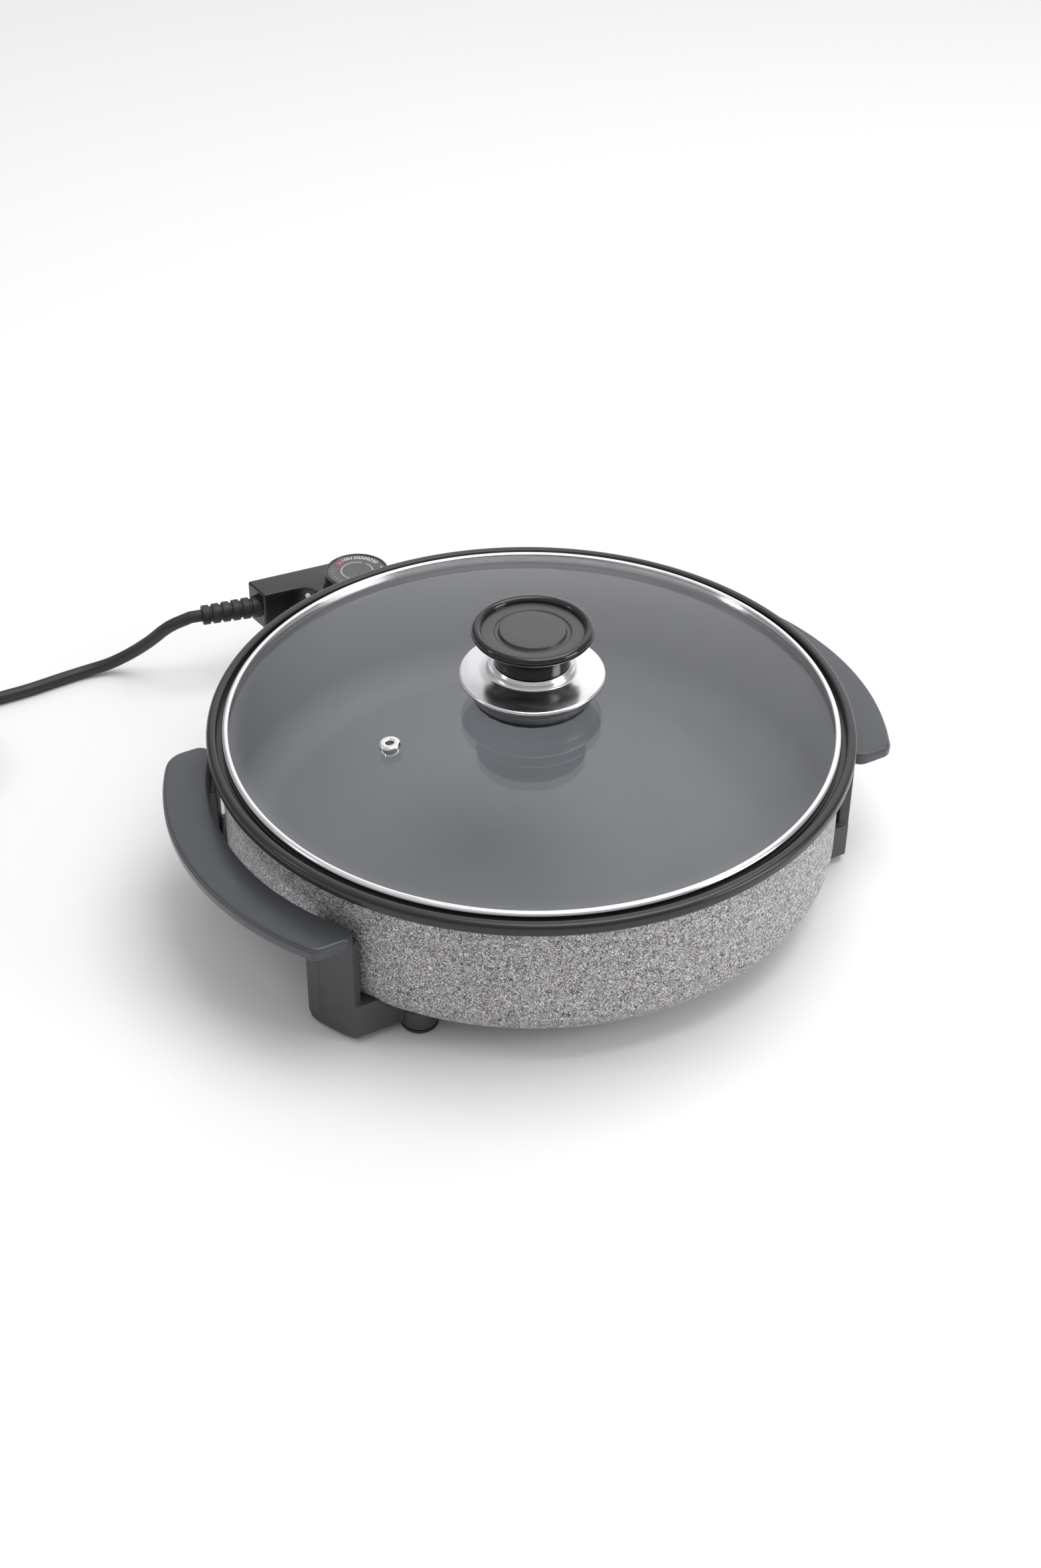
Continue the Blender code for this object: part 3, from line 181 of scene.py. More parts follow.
def inset(outline, amount):
    """A closed outline, given counter-clockwise, moved inwards by an amount."""
    points = [Vector(p) for p in outline]
    moved = []
    for i, here in enumerate(points):
        before = (here - points[i - 1]).normalized()
        after = (points[(i + 1) % len(points)] - here).normalized()
        inward = Vector((-before.y - after.y, before.x + after.x)).normalized()
        share = max(MITRE_LIMIT, inward.dot(Vector((-before.y, before.x))))
        moved.append(here + inward * amount / share)
    return moved


def rounding(radius, height, upward, count=6):
    """Layers (inset, height) that round a slab's edge, from the side wall to the face at a height."""
    layers = []
    for i in range(count + 1):
        angle = math.pi / 2 * i / count
        drop = radius * (1 - math.sin(angle))
        layers.append((radius * (1 - math.cos(angle)), height - drop if upward else height + drop))
    return layers


def slab(name, outline, layers):
    """A closed outline carried through layers of (inset, height), with a face at each end."""
    mesh = bpy.data.meshes.new(name)
    bm = bmesh.new()
    rings = [[bm.verts.new((*point, z)) for point in inset(outline, amount)] for amount, z in layers]
    for lower, upper in zip(rings, rings[1:]):
        for k in range(len(lower)):
            after = (k + 1) % len(lower)
            bm.faces.new((lower[k], lower[after], upper[after], upper[k]))
    bm.faces.new(list(reversed(rings[0])))
    bm.faces.new(rings[-1])
    bmesh.ops.recalc_face_normals(bm, faces=bm.faces)
    bmesh.ops.translate(bm, vec=AXIS, verts=bm.verts)
    bm.to_mesh(mesh)
    bm.free()
    return finish_mesh(mesh, 50)


def mirrored(mesh, name, sign_x, sign_y):
    """A copy of a mesh, mirrored about the pan's axis where a sign is -1."""
    copy = mesh.copy()
    copy.name = name
    flip = Matrix.Diagonal((sign_x, sign_y, 1, 1))
    copy.transform(Matrix.Translation(AXIS) @ flip @ Matrix.Translation(-AXIS))
    if sign_x * sign_y < 0:
        copy.flip_normals()
    return copy


def apply_modifiers(mesh, settings):
    """A mesh after a list of modifiers, each given as its type and its properties."""
    obj = bpy.data.objects.new("work", mesh)
    bpy.context.scene.collection.objects.link(obj)
    for kind, values in settings:
        modifier = obj.modifiers.new(kind, kind)
        for key, value in values.items():
            setattr(modifier, key, value)
    depsgraph = bpy.context.evaluated_depsgraph_get()
    result = bpy.data.meshes.new_from_object(obj.evaluated_get(depsgraph))
    bpy.data.objects.remove(obj)
    return result


def at(location, rotation=None):
    """A matrix that places a piece: a location and, if given, the direction that its Z turns to."""
    matrix = Matrix.Translation(Vector(location))
    if rotation is not None:
        matrix = matrix @ Vector(rotation).to_track_quat('Z', 'Y').to_matrix().to_4x4()
    return matrix


# Materials

def new_material(name):
    material = bpy.data.materials.new(name)
    material.use_nodes = True
    nodes, links = material.node_tree.nodes, material.node_tree.links
    return material, nodes, links, nodes["Principled BSDF"]


def noise(nodes, links, scale, detail=3.0, distortion=0.0, stretch=None):
    coordinates = nodes.new("ShaderNodeTexCoord")
    texture = nodes.new("ShaderNodeTexNoise")
    texture.inputs["Scale"].default_value = scale
    texture.inputs["Detail"].default_value = detail
    texture.inputs["Distortion"].default_value = distortion
    source = coordinates.outputs["Object"]
    if stretch:
        mapping = nodes.new("ShaderNodeMapping")
        mapping.inputs["Scale"].default_value = stretch
        links.new(source, mapping.inputs["Vector"])
        source = mapping.outputs["Vector"]
    links.new(source, texture.inputs["Vector"])
    return texture


def ramp(nodes, links, source, stops):
    node = nodes.new("ShaderNodeValToRGB")
    elements = node.color_ramp.elements
    while len(elements) < len(stops):
        elements.new(0.5)
    for element, (position, colour) in zip(elements, stops):
        element.position = position
        element.color = (*colour, 1.0)
    links.new(source, node.inputs["Fac"])
    return node


def spread(nodes, links, source, low, high):
    node = nodes.new("ShaderNodeMapRange")
    node.inputs["From Min"].default_value = 0.3
    node.inputs["From Max"].default_value = 0.7
    node.inputs["To Min"].default_value = low
    node.inputs["To Max"].default_value = high
    links.new(source, node.inputs["Value"])
    return node


def bump(nodes, links, source, shader, strength, distance):
    node = nodes.new("ShaderNodeBump")
    node.inputs["Strength"].default_value = strength
    node.inputs["Distance"].default_value = distance
    links.new(source, node.inputs["Height"])
    links.new(node.outputs["Normal"], shader.inputs["Normal"])


def moulded(name, colour, roughness, grain=900, depth=0.00003, metallic=0.0, tint=0.12, coat=0.0):
    """Moulded or painted material: a fine grain, a slow change of tone and uneven gloss."""
    material, nodes, links, shader = new_material(name)
    slow = noise(nodes, links, 14, 4)
    dark = tuple(c * (1 - tint) for c in colour)
    light = tuple(min(1, c * (1 + tint)) for c in colour)
    tone = ramp(nodes, links, slow.outputs["Fac"], [(0.3, dark), (0.7, light)])
    links.new(tone.outputs["Color"], shader.inputs["Base Color"])
    patches = noise(nodes, links, 60, 3)
    gloss = spread(nodes, links, patches.outputs["Fac"], roughness * 0.88, roughness * 1.12)
    links.new(gloss.outputs["Result"], shader.inputs["Roughness"])
    shader.inputs["Metallic"].default_value = metallic
    shader.inputs["Coat Weight"].default_value = coat
    shader.inputs["Coat Roughness"].default_value = 0.05
    bump(nodes, links, noise(nodes, links, grain, 2).outputs["Fac"], shader, 0.6, depth)
    return material


def brushed(name, colour, roughness, stretch=(40, 40, 1500), depth=0.00001):
    """Metal with fine brush lines and a little uneven gloss."""
    material, nodes, links, shader = new_material(name)
    shader.inputs["Metallic"].default_value = 1.0
    lines = noise(nodes, links, 1.0, 3, 0, stretch)
    dark = tuple(c * 0.88 for c in colour)
    tone = ramp(nodes, links, lines.outputs["Fac"], [(0.3, dark), (0.7, colour)])
    links.new(tone.outputs["Color"], shader.inputs["Base Color"])
    gloss = spread(nodes, links, lines.outputs["Fac"], roughness * 0.8, roughness * 1.25)
    links.new(gloss.outputs["Result"], shader.inputs["Roughness"])
    bump(nodes, links, lines.outputs["Fac"], shader, 0.5, depth)
    return material


def hammertone():
    """Grey hammered paint: light curls about 2 mm across over a darker ground."""
    material, nodes, links, shader = new_material("hammertone")
    curls = noise(nodes, links, 640, 1.5, 2.2)
    stops = [(0.38, (0.075, 0.072, 0.075)), (0.46, (0.27, 0.258, 0.266)),
             (0.54, (0.43, 0.412, 0.422)), (0.64, (0.82, 0.80, 0.81))]
    tone = ramp(nodes, links, curls.outputs["Fac"], stops)
    links.new(tone.outputs["Color"], shader.inputs["Base Color"])
    gloss = spread(nodes, links, curls.outputs["Fac"], 0.55, 0.33)
    links.new(gloss.outputs["Result"], shader.inputs["Roughness"])
    shader.inputs["Metallic"].default_value = 0.1
    bump(nodes, links, curls.outputs["Fac"], shader, 0.9, 0.0006)
    return material


def clear_glass():
    """Clear glass that lets light straight through and reflects more at a grazing angle."""
    head_on, grazing = 0.045, 0.96
    material, nodes, links, shader = new_material("lid_clear_glass")
    clear = nodes.new("ShaderNodeBsdfTransparent")
    clear.inputs["Color"].default_value = (0.965, 0.970, 0.975, 1)
    gloss = nodes.new("ShaderNodeBsdfGlossy")
    gloss.inputs["Roughness"].default_value = 0.03
    facing = nodes.new("ShaderNodeLayerWeight")
    facing.inputs["Blend"].default_value = 0.5
    power = nodes.new("ShaderNodeMath")
    power.operation = 'POWER'
    power.inputs[1].default_value = 5.0
    links.new(facing.outputs["Facing"], power.inputs[0])
    share = nodes.new("ShaderNodeMath")
    share.operation = 'MULTIPLY_ADD'
    share.inputs[1].default_value = grazing
    share.inputs[2].default_value = head_on
    links.new(power.outputs["Value"], share.inputs[0])
    mix = nodes.new("ShaderNodeMixShader")
    links.new(share.outputs["Value"], mix.inputs["Fac"])
    links.new(clear.outputs["BSDF"], mix.inputs[1])
    links.new(gloss.outputs["BSDF"], mix.inputs[2])
    waves = noise(nodes, links, 6, 0.5)
    ripple = nodes.new("ShaderNodeBump")
    ripple.inputs["Strength"].default_value = 0.15
    ripple.inputs["Distance"].default_value = 0.0003
    links.new(waves.outputs["Fac"], ripple.inputs["Height"])
    links.new(ripple.outputs["Normal"], gloss.inputs["Normal"])
    output = nodes["Material Output"]
    links.new(mix.outputs["Shader"], output.inputs["Surface"])
    nodes.remove(shader)
    return material


# Camera

VIEW_AZIMUTH = math.radians(-30.13)
VIEW_ELEVATION = math.radians(37.3)
VIEW_ROLL = math.radians(0.58)
VIEW_DISTANCE = 1.2903
VIEW_LEFT = 0.00578
VIEW_DOWN = 0.03927


def make_camera():
    """A camera above the front left, with a slight roll, that looks just beside the lid's middle."""
    camera = bpy.data.objects.new("camera", bpy.data.cameras.new("camera"))
    bpy.context.scene.collection.objects.link(camera)
    camera.data.lens = 53.37
    camera.data.sensor_width = 36.0
    level = math.cos(VIEW_ELEVATION)
    back = Vector((math.sin(VIEW_AZIMUTH) * level, -math.cos(VIEW_AZIMUTH) * level,
                   math.sin(VIEW_ELEVATION)))
    right = Vector((math.cos(VIEW_AZIMUTH), math.sin(VIEW_AZIMUTH), 0))
    up = back.cross(right)
    x_axis = right * math.cos(VIEW_ROLL) + up * math.sin(VIEW_ROLL)
    y_axis = up * math.cos(VIEW_ROLL) - right * math.sin(VIEW_ROLL)
    target = AXIS + Vector((0, 0, LID_TOP_Z))
    place = target + back * VIEW_DISTANCE - right * VIEW_LEFT - up * VIEW_DOWN
    camera.matrix_world = Matrix.Translation(place) @ Matrix((x_axis, y_axis, back)).transposed().to_4x4()
    bpy.context.scene.camera = camera


# Cord

CORD_DIAMETER = 0.0078
RELIEF_START = Vector((-0.0565, 0.2495, 0.0495))
RELIEF_DIRECTION = Vector((-0.978, 0.206, 0.0)).normalized()
RELIEF_LENGTH = 0.035
CORD_STRAIGHT = 0.007
CORD_ROUTE = [
    (-0.1100, 0.2650, 0.0425),
    (-0.1200, 0.2760, 0.0282),
    (-0.1300, 0.2868, 0.0158),
    (-0.1425, 0.2950, 0.0070),
    (-0.1580, 0.2985, 0.0042),
    (-0.1760, 0.2980, 0.0040),
    (-0.1950, 0.2968, 0.0040),
    (-0.2160, 0.2972, 0.0040),
    (-0.2380, 0.2983, 0.0040),
    (-0.2610, 0.2985, 0.0040),
]
COIL_START, COIL_END, COIL_STEP = 90, 1260, 10
MOVE_IN, MOVE_BACK = (385, 448), (725, 765)
CLIMB_TO_GROOVE, CLIMB_TO_TOP = (715, 760), (1085, 1150)
CROSSING_UP, CROSSING_DOWN = (740, 775), (800, 850)
CROSSING_RISE = 0.0012
FLOOR_GAP = 0.0001


def ease(value, start, end):
    share = min(1, max(0, (value - start) / (end - start)))
    return share * share * (3 - 2 * share)


def coil_points():
    """Two turns side by side, a third in the groove on them and a last quarter on that. The cord
    moves across or climbs between pairs of angles, in degrees along the coil."""
    low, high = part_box("cord_coil")
    centre = (low + high) / 2 - AXIS
    middle_radius = (high.x - low.x) / 2 - CORD_DIAMETER
    floor, groove = CORD_DIAMETER / 2, CORD_DIAMETER * math.sqrt(3) / 2
    points = []
    for step in range(COIL_START, COIL_END + 1, COIL_STEP):
        outward = 0.5 - ease(step, *MOVE_IN) + 0.5 * ease(step, *MOVE_BACK)
        radius = middle_radius + CORD_DIAMETER * outward
        crossing = ease(step, *CROSSING_UP) - ease(step, *CROSSING_DOWN)
        lift = groove * ease(step, *CLIMB_TO_GROOVE) + CROSSING_RISE * crossing
        lift += (plug_height() - floor - groove) * ease(step, *CLIMB_TO_TOP)
        angle = math.radians(step)
        points.append(centre + Vector((radius * math.cos(angle), radius * math.sin(angle), 0)))
        points[-1].z = floor + lift + FLOOR_GAP
    return points


def plug_height():
    low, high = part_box("plug_body")
    return (low.z + high.z) / 2


def make_cord(material):
    start = RELIEF_START + RELIEF_DIRECTION * (RELIEF_LENGTH + GAP)
    near = start + RELIEF_DIRECTION * CORD_STRAIGHT
    uncoiled = [start] + smooth_line([near] + CORD_ROUTE, 3)
    tail_x = middle("plug_body").x - AXIS.x
    tail_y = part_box("plug_body")[1].y - AXIS.y + GAP
    tail_end = Vector((tail_x, tail_y, plug_height()))
    coil = coil_points()
    tail = [coil[-1].lerp(tail_end, share) for share in (0.33, 0.67, 1.0)]
    line = [AXIS + point for point in uncoiled + coil[1:] + tail]
    curve = bpy.data.curves.new("power_lead", 'CURVE')
    curve.dimensions = '3D'
    curve.bevel_depth = CORD_DIAMETER / 2
    curve.bevel_resolution = 6
    curve.use_fill_caps = True
    spline = curve.splines.new('POLY')
    spline.points.add(len(line) - 1)
    for point, place in zip(spline.points, line):
        point.co = (*place, 1)
    spline.use_smooth = True
    cord = bpy.data.objects.new("power_lead", curve)
    bpy.context.scene.collection.objects.link(cord)
    curve.materials.append(material)
    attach(cord, "controller")
    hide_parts("power_cord", "cord_coil")
    print("cord length", round(length_of(line), 4))


make_camera()
RUBBER = moulded("black_rubber", (0.022, 0.022, 0.023), 0.48, 700, 0.00004)
make_cord(RUBBER)

# Materials of the other pieces

HAMMERTONE = hammertone()
INNER_COAT = moulded("grey_inner_coat", (0.175, 0.180, 0.194), 0.60, 200, 0.000001, tint=0.05)
RIM_BLACK = moulded("rim_black", (0.014, 0.014, 0.015), 0.27, 300, 0.000004)
BAND_STEEL = brushed("lid_band_steel", (0.86, 0.86, 0.86), 0.14, (60, 60, 900))
CHROME = brushed("skirt_chrome", (0.82, 0.82, 0.83), 0.20, (50, 50, 900), 0.000006)
# Painted reflection: the cup's steel is much darker than plain steel, to stand in for the skirt's dark
# reflection on it.
CUP_DARK_REFLECTION_STEEL = brushed("cup_painted_reflection_steel", (0.34, 0.34, 0.35), 0.30, (50, 50, 900))
STEEL = brushed("plain_steel", (0.78, 0.78, 0.77), 0.28)
GLASS = clear_glass()
KNOB_BLACK = moulded("knob_black", (0.012, 0.012, 0.013), 0.10, 300, 0.000005, tint=0.05)
KNOB_FACE = moulded("knob_face", (0.055, 0.055, 0.058), 0.30, 400, 0.000004, tint=0.04)
HANDLE = moulded("handle_phenolic", (0.060, 0.064, 0.072), 0.30, 300, 0.000006, tint=0.06)
LEG_BLACK = moulded("leg_phenolic", (0.058, 0.058, 0.060), 0.42, 1100, 0.00003, tint=0.06)
GLOSS_BLACK = moulded("controller_black", (0.013, 0.013, 0.014), 0.13, 400, 0.000008)
DIAL_FACE = moulded("dial_face", (0.085, 0.085, 0.088), 0.34, 1200, 0.00001)
PAINT_WHITE = moulded("dial_white", (0.80, 0.80, 0.80), 0.5, 1200, 0.00001)
PAINT_GREY = moulded("dial_grey", (0.42, 0.42, 0.43), 0.5, 1200, 0.00001)
PAINT_RED = moulded("dial_red", (0.75, 0.06, 0.10), 0.4, 1200, 0.00001)
LENS = moulded("lamp_lens_clear", (0.80, 0.76, 0.74), 0.08, 300, 0.000005)
BRASS = brushed("contact_brass", (0.78, 0.60, 0.30), 0.3)
ELEMENT = moulded("element_steel", (0.30, 0.29, 0.27), 0.42, 800, 0.00003, metallic=0.9, tint=0.25)
GUARD = moulded("guard_phenolic", (0.030, 0.030, 0.031), 0.45, 900, 0.00003)
BAKELITE = moulded("switch_bakelite", (0.16, 0.08, 0.04), 0.4)


# Pan and lid

def pan():
    """One shell in three finishes: the grey inside, the black rim and the hammered outside."""
    outer = radius_of("pan")
    wall_radius, inner, lip = outer - 0.007, outer - 0.011, outer - 0.0055
    low, top = PAN_LOW.z, PAN_HIGH.z
    seat, rim_low, floor = top - 0.0047, top - 0.0068, low + 0.005
    inside = rounded([(0, floor), (inner, floor, 0.022), (inner, seat, 0.0006), (lip, seat)], 16)
    rim = rounded([(lip, seat), (lip, top, 0.0015), (outer, top, 0.0027), (outer, rim_low, 0.0015),
                   (wall_radius, rim_low)], 8)
    outside = rounded([(wall_radius, rim_low), (wall_radius, low, 0.020), (0, low)], 18)
    floor_rings = [(inner * 0.8 * i / 12, floor) for i in range(12)]
    profile = floor_rings + inside[1:-1] + rim + outside[1:]
    first_rim = len(floor_rings) + len(inside) - 3
    first_out = len(floor_rings) + len(inside) - 2 + len(rim) - 1
    bands = [(0, 0), (first_rim, 1), (first_out, 2)]
    mesh = lathe("pan_shell", profile, 256, place=at(AXIS), bands=bands)
    add_piece("pan_shell", mesh, [INNER_COAT, RIM_BLACK, HAMMERTONE], "base", ["pan"])


GLASS_THICKNESS = 0.0036
GLASS_FLANGE = 0.0066
GLASS_EDGE_TOP = LID_TOP_Z - 0.001
GLASS_HOLE = 0.0035
VENT_OFFSET = 0.088


def dome(radius):
    """Height of the glass's upper face above its flat edge."""
    reach = radius_of("lid_glass") - GLASS_FLANGE
    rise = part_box("lid_glass")[1].z - GLASS_EDGE_TOP
    sphere = (reach ** 2 + rise ** 2) / (2 * rise)
    return rise - sphere + math.sqrt(sphere ** 2 - min(radius, reach) ** 2)


def lid():
    """A pane of even thickness: a dome with a hole for the knob's screw and a flat edge."""
    outer = radius_of("lid_glass")
    reach = outer - GLASS_FLANGE
    count = 40
    radii = [GLASS_HOLE + (reach - GLASS_HOLE) * i / count for i in range(count + 1)]
    upper = [(r, GLASS_EDGE_TOP + dome(r)) for r in radii]
    edge = rounded([(reach + 0.001, GLASS_EDGE_TOP), (outer, GLASS_EDGE_TOP, 0.0009),
                    (outer, GLASS_EDGE_TOP - GLASS_THICKNESS, 0.0009),
                    (reach + 0.001, GLASS_EDGE_TOP - GLASS_THICKNESS)], 4)
    lower = [(r, z - GLASS_THICKNESS) for r, z in reversed(upper)]
    mesh = lathe("lid_pane", upper + edge + lower, 256, closed=True, place=at(AXIS))
    add_piece("lid_pane", mesh, [GLASS], "lid", ["lid_glass"])


def band():
    """A steel channel round the glass: a rounded top that curls in to the glass and a flat foot."""
    outer = radius_of("lid_band")
    low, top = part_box("lid_band")[0].z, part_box("lid_band")[1].z
    lip, metal = outer - 0.0038, 0.0007
    outside = rounded([(lip, top - 0.0009, 0.0), (lip + 0.0003, top, 0.0011), (outer, top, 0.0021),
                       (outer, low, 0.0005), (lip, low)], 10)
    inside = [(lip, low + metal), (outer - metal, low + metal), (outer - metal, top - 0.0019)]
    inside += [(outer - 0.0013, top - metal - 0.0004), (lip + 0.0002, top - 0.00095)]
    mesh = lathe("lid_ring", outside + inside, 256, closed=True, place=at(AXIS))
    add_piece("lid_ring", mesh, [BAND_STEEL], "lid", ["lid_band"])


def eyelet():
    """A steel ring set square to the dome's slope in the vent hole."""
    step = 0.001
    slope = (dome(VENT_OFFSET + step) - dome(VENT_OFFSET - step)) / (2 * step)
    normal = Vector((slope, 0, 1)).normalized()
    half = GLASS_THICKNESS / 2 + GAP
    bore, stem, flange, height = 0.0021, 0.0040, 0.0060, 0.0022
    top = rounded([(bore, -half - 0.001), (bore, half + height, 0.0009), (flange, half + height, 0.0015),
                   (flange, half), (stem, half)], 6)
    profile = top + [(stem, -half), (0.0046, -half), (0.0042, -half - 0.001)]
    centre = AXIS + Vector((-VENT_OFFSET, 0, GLASS_EDGE_TOP + dome(VENT_OFFSET) - GLASS_THICKNESS / 2))
    mesh = lathe("vent_ring", profile, 48, closed=True, place=at(centre, normal))
    add_piece("vent_ring", mesh, [BAND_STEEL], "lid", ["vent_eyelet"])


KNOB_NECK = 0.0212
SHEET = 0.001


def knob():
    """A flat knob with a beaded rim and a stepped face, undercut down to its neck."""
    low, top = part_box("knob")[0].z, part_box("knob")[1].z
    outer, bead, bore = radius_of("knob"), 0.0028, 0.0025
    bead_z = top - bead
    face, raised = bead_z - 0.0004, bead_z + 0.0006
    sunk = face - 0.0008
    centre = [(0, raised)]
    centre += rounded([(0.010, raised), (0.0180, raised, 0.0004), (0.0188, sunk, 0.0004),
                       (0.0206, sunk, 0.0004), (0.0214, face, 0.0004), (outer - 0.0056, face)], 5)
    rim = arc(outer - bead, bead_z, bead, 165, -88, 22)
    under = rounded([(outer - 0.0034, bead_z - 0.0029), (0.0262, bead_z - 0.0036, 0.003),
                     (0.0225, bead_z - 0.0062, 0.002), (KNOB_NECK, bead_z - 0.0095, 0.002),
                     (KNOB_NECK, low, 0.0004), (bore, low)], 6)
    blind_end = [(bore, low + 0.012), (0, low + 0.012)]
    mesh = lathe("knob_grip", centre + rim + under + blind_end, 128, place=at(AXIS),
                 bands=[(0, 1), (len(centre) - 1, 0)])
    add_piece("knob_grip", mesh, [KNOB_BLACK, KNOB_FACE], "lid", ["knob"])


def skirt():
    """A bright flared skirt of thin sheet under the knob."""
    low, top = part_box("knob_skirt")[0].z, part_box("knob_skirt")[1].z
    outer, collar = radius_of("knob_skirt"), KNOB_NECK + 0.0003
    outside = rounded([(GLASS_HOLE, top), (collar, top, 0.0004), (collar + 0.0012, top - 0.0016, 0.0012),
                       (collar + 0.0026, top - 0.0042, 0.004), (outer - 0.012, top - 0.0056, 0.02),
                       (outer, top - 0.0076, 0.0014), (outer - 0.0006, low, 0.0004),
                       (outer - 0.0026, low)], 8)
    inside = rounded([(outer - 0.0030, low), (outer - 0.012, top - 0.0056 - SHEET),
                      (collar + 0.0014, top - 0.0046), (collar - 0.0004, top - SHEET),
                      (GLASS_HOLE, top - SHEET)], 4)
    mesh = lathe("knob_saucer", outside + inside, 128, closed=True, place=at(AXIS))
    add_piece("knob_saucer", mesh, [CHROME], "lid", ["knob_skirt"])


def cup():
    """The steel cup between the skirt and the glass, narrower towards its foot. Its steel is painted
    darker than plain steel, a painted reflection of the skirt.
    """
    low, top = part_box("knob_cup")[0].z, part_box("knob_cup")[1].z
    outer, foot = radius_of("knob_cup"), 0.033
    side = [(outer, top), (outer, top - 0.0022), (outer - 0.0010, top - 0.0026)]
    for i in range(3, 11):
        side.append((outer - 0.0005 - (outer - foot) * (i / 10) ** 2, top - (top - low) * i / 10))
    floor = [(GLASS_HOLE, low), (GLASS_HOLE, low + SHEET)]
    inside = [(r - SHEET, max(z, low + SHEET)) for r, z in reversed(side)]
    mesh = lathe("knob_base", side + floor + inside, 128, closed=True, place=at(AXIS))
    add_piece("knob_base", mesh, [CUP_DARK_REFLECTION_STEEL], "lid", ["knob_cup"])


pan()
lid()
band()
eyelet()
knob()
skirt()
cup()


# Handles, legs and feet

GRIP_OUT = AXIS.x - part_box("grip_left")[0].x
GRIP_LOW, GRIP_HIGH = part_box("grip_left")[0].z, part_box("grip_left")[1].z
GRIP_HALF = (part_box("grip_left")[1].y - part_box("grip_left")[0].y) / 2
GRIP_ARC, GRIP_FALL = math.radians(24), 0.0036
GRIP_IN, GRIP_IN_ARC, GRIP_IN_FALL = 0.182, math.radians(27), 0.0030
GRIP_IN_END = 0.1785
LEG_OUTER = 0.183


def grip_outline():
    """The left crescent from above, counter-clockwise: its outer arc, an end, its inner arc, an end."""
    outer, inner = [], []
    for i in range(49):
        angle = GRIP_ARC * (i / 24 - 1)
        reach = GRIP_OUT - GRIP_FALL * (angle / GRIP_ARC) ** 2
        outer.append((-reach * math.cos(angle), -reach * math.sin(angle)))
    for i in range(33):
        angle = GRIP_IN_ARC * (i / 16 - 1)
        reach = GRIP_IN - GRIP_IN_FALL * (angle / GRIP_IN_ARC) ** 2
        inner.append((-reach * math.cos(angle), reach * math.sin(angle)))
    outer_end = math.sqrt((GRIP_OUT - GRIP_FALL * 1.25) ** 2 - GRIP_HALF ** 2)
    inner_end = math.sqrt(GRIP_IN_END ** 2 - GRIP_HALF ** 2)
    front = [(-outer_end, -GRIP_HALF, 0.008), (-inner_end, -GRIP_HALF, 0.007)]
    back = [(-inner_end, GRIP_HALF, 0.007), (-outer_end, GRIP_HALF, 0.016)]
    return rounded(outer + front + inner + back, 10, True)


def grips():
    """A crescent with a soft upper edge and a fine groove below it."""
    soft, groove = 0.0017, 0.0004
    ledge = GRIP_HIGH - soft
    layers = list(reversed(rounding(0.0010, GRIP_LOW, False, 4)))
    layers += [(0, ledge - 0.0007), (groove, ledge - 0.0004), (groove, ledge)]
    layers += [(amount + groove, z) for amount, z in rounding(soft, GRIP_HIGH, True, 8)]
    left = slab("side_grip_left", grip_outline(), layers)
    right = mirrored(left, "side_grip_right", -1, 1)
    add_piece("side_grip_left", left, [HANDLE], "base", ["grip_left"])
    add_piece("side_grip_right", right, [HANDLE], "base", ["grip_right"])


def rib(bm):
    """A flat rib up the rear edge of the left front leg's strap, from near the bottom to the grip."""
    start, end = math.radians(20.7), math.radians(22.9)
    low, high = 0.0095, GRIP_LOW - 0.0006
    sunk, proud = LEG_OUTER - 0.002, LEG_OUTER + 0.0009
    steps = 6
    rings = []
    for i in range(steps + 1):
        angle = start + (end - start) * i / steps
        ring = []
        for reach, z in ((sunk, low), (proud, low + 0.002), (proud, high), (sunk, high)):
            place = AXIS + Vector((-reach * math.cos(angle), -reach * math.sin(angle), z))
            ring.append(bm.verts.new(place))
        rings.append(ring)
    for one, other in zip(rings, rings[1:]):
        for k in range(4):
            after = (k + 1) % 4
            bm.faces.new((one[k], one[after], other[after], other[k]))
    bm.faces.new(rings[0])
    bm.faces.new(list(reversed(rings[-1])))


def legs():
    """The strap, arm and boss in one moulding, with every edge softened."""
    bm = bmesh.new()
    bm.from_mesh(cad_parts["leg_front_left"].data)
    rib(bm)
    bmesh.ops.recalc_face_normals(bm, faces=bm.faces)
    raw = bpy.data.meshes.new("leg_raw")
    bm.to_mesh(raw)
    bm.free()
    steps = [('REMESH', {"mode": 'VOXEL', "voxel_size": 0.0005}),
             ('SMOOTH', {"factor": 0.5, "iterations": 7}),
             ('DECIMATE', {"ratio": 0.22})]
    mesh = apply_modifiers(raw, steps)
    mesh.materials.clear()
    finish_mesh(mesh, 60)
    for label, sign_x, sign_y in (("front_left", 1, 1), ("front_right", -1, 1),
                                  ("rear_left", 1, -1), ("rear_right", -1, -1)):
        name = "strap_" + label
        copy = mirrored(mesh, name, sign_x, sign_y)
        add_piece(name, copy, [LEG_BLACK], "base", ["leg_" + label])


def feet():
    """Rubber pads with a shallow hollow underneath."""
    for label in ("front_left", "front_right", "rear_left", "rear_right"):
        low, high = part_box("foot_" + label)
        radius, height = (high.x - low.x) / 2, high.z
        profile = rounded([(0, height), (radius, height, 0.0003), (radius, 0, 0.0022),
                           (0.0052, 0, 0.0004), (0.0048, 0.0010), (0, 0.0010)], 8)
        place = at(((low.x + high.x) / 2, (low.y + high.y) / 2, 0))
        mesh = lathe("pad_" + label, profile, 48, place=place)
        add_piece("pad_" + label, mesh, [RUBBER], "base", ["foot_" + label])


grips()
legs()
feet()


# Controller

CASE_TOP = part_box("controller_upper_shell")[1].z
CASE_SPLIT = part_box("controller_upper_shell")[0].z
ARM_SLOPE = math.radians(-5.3)
CASE_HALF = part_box("controller_upper_shell")[1].x - AXIS.x
CASE_FRONT = 0.197
CASE_BACK = 0.2545
ARM_WIDTH = 0.020
DIAL_Y = middle("dial").y - AXIS.y


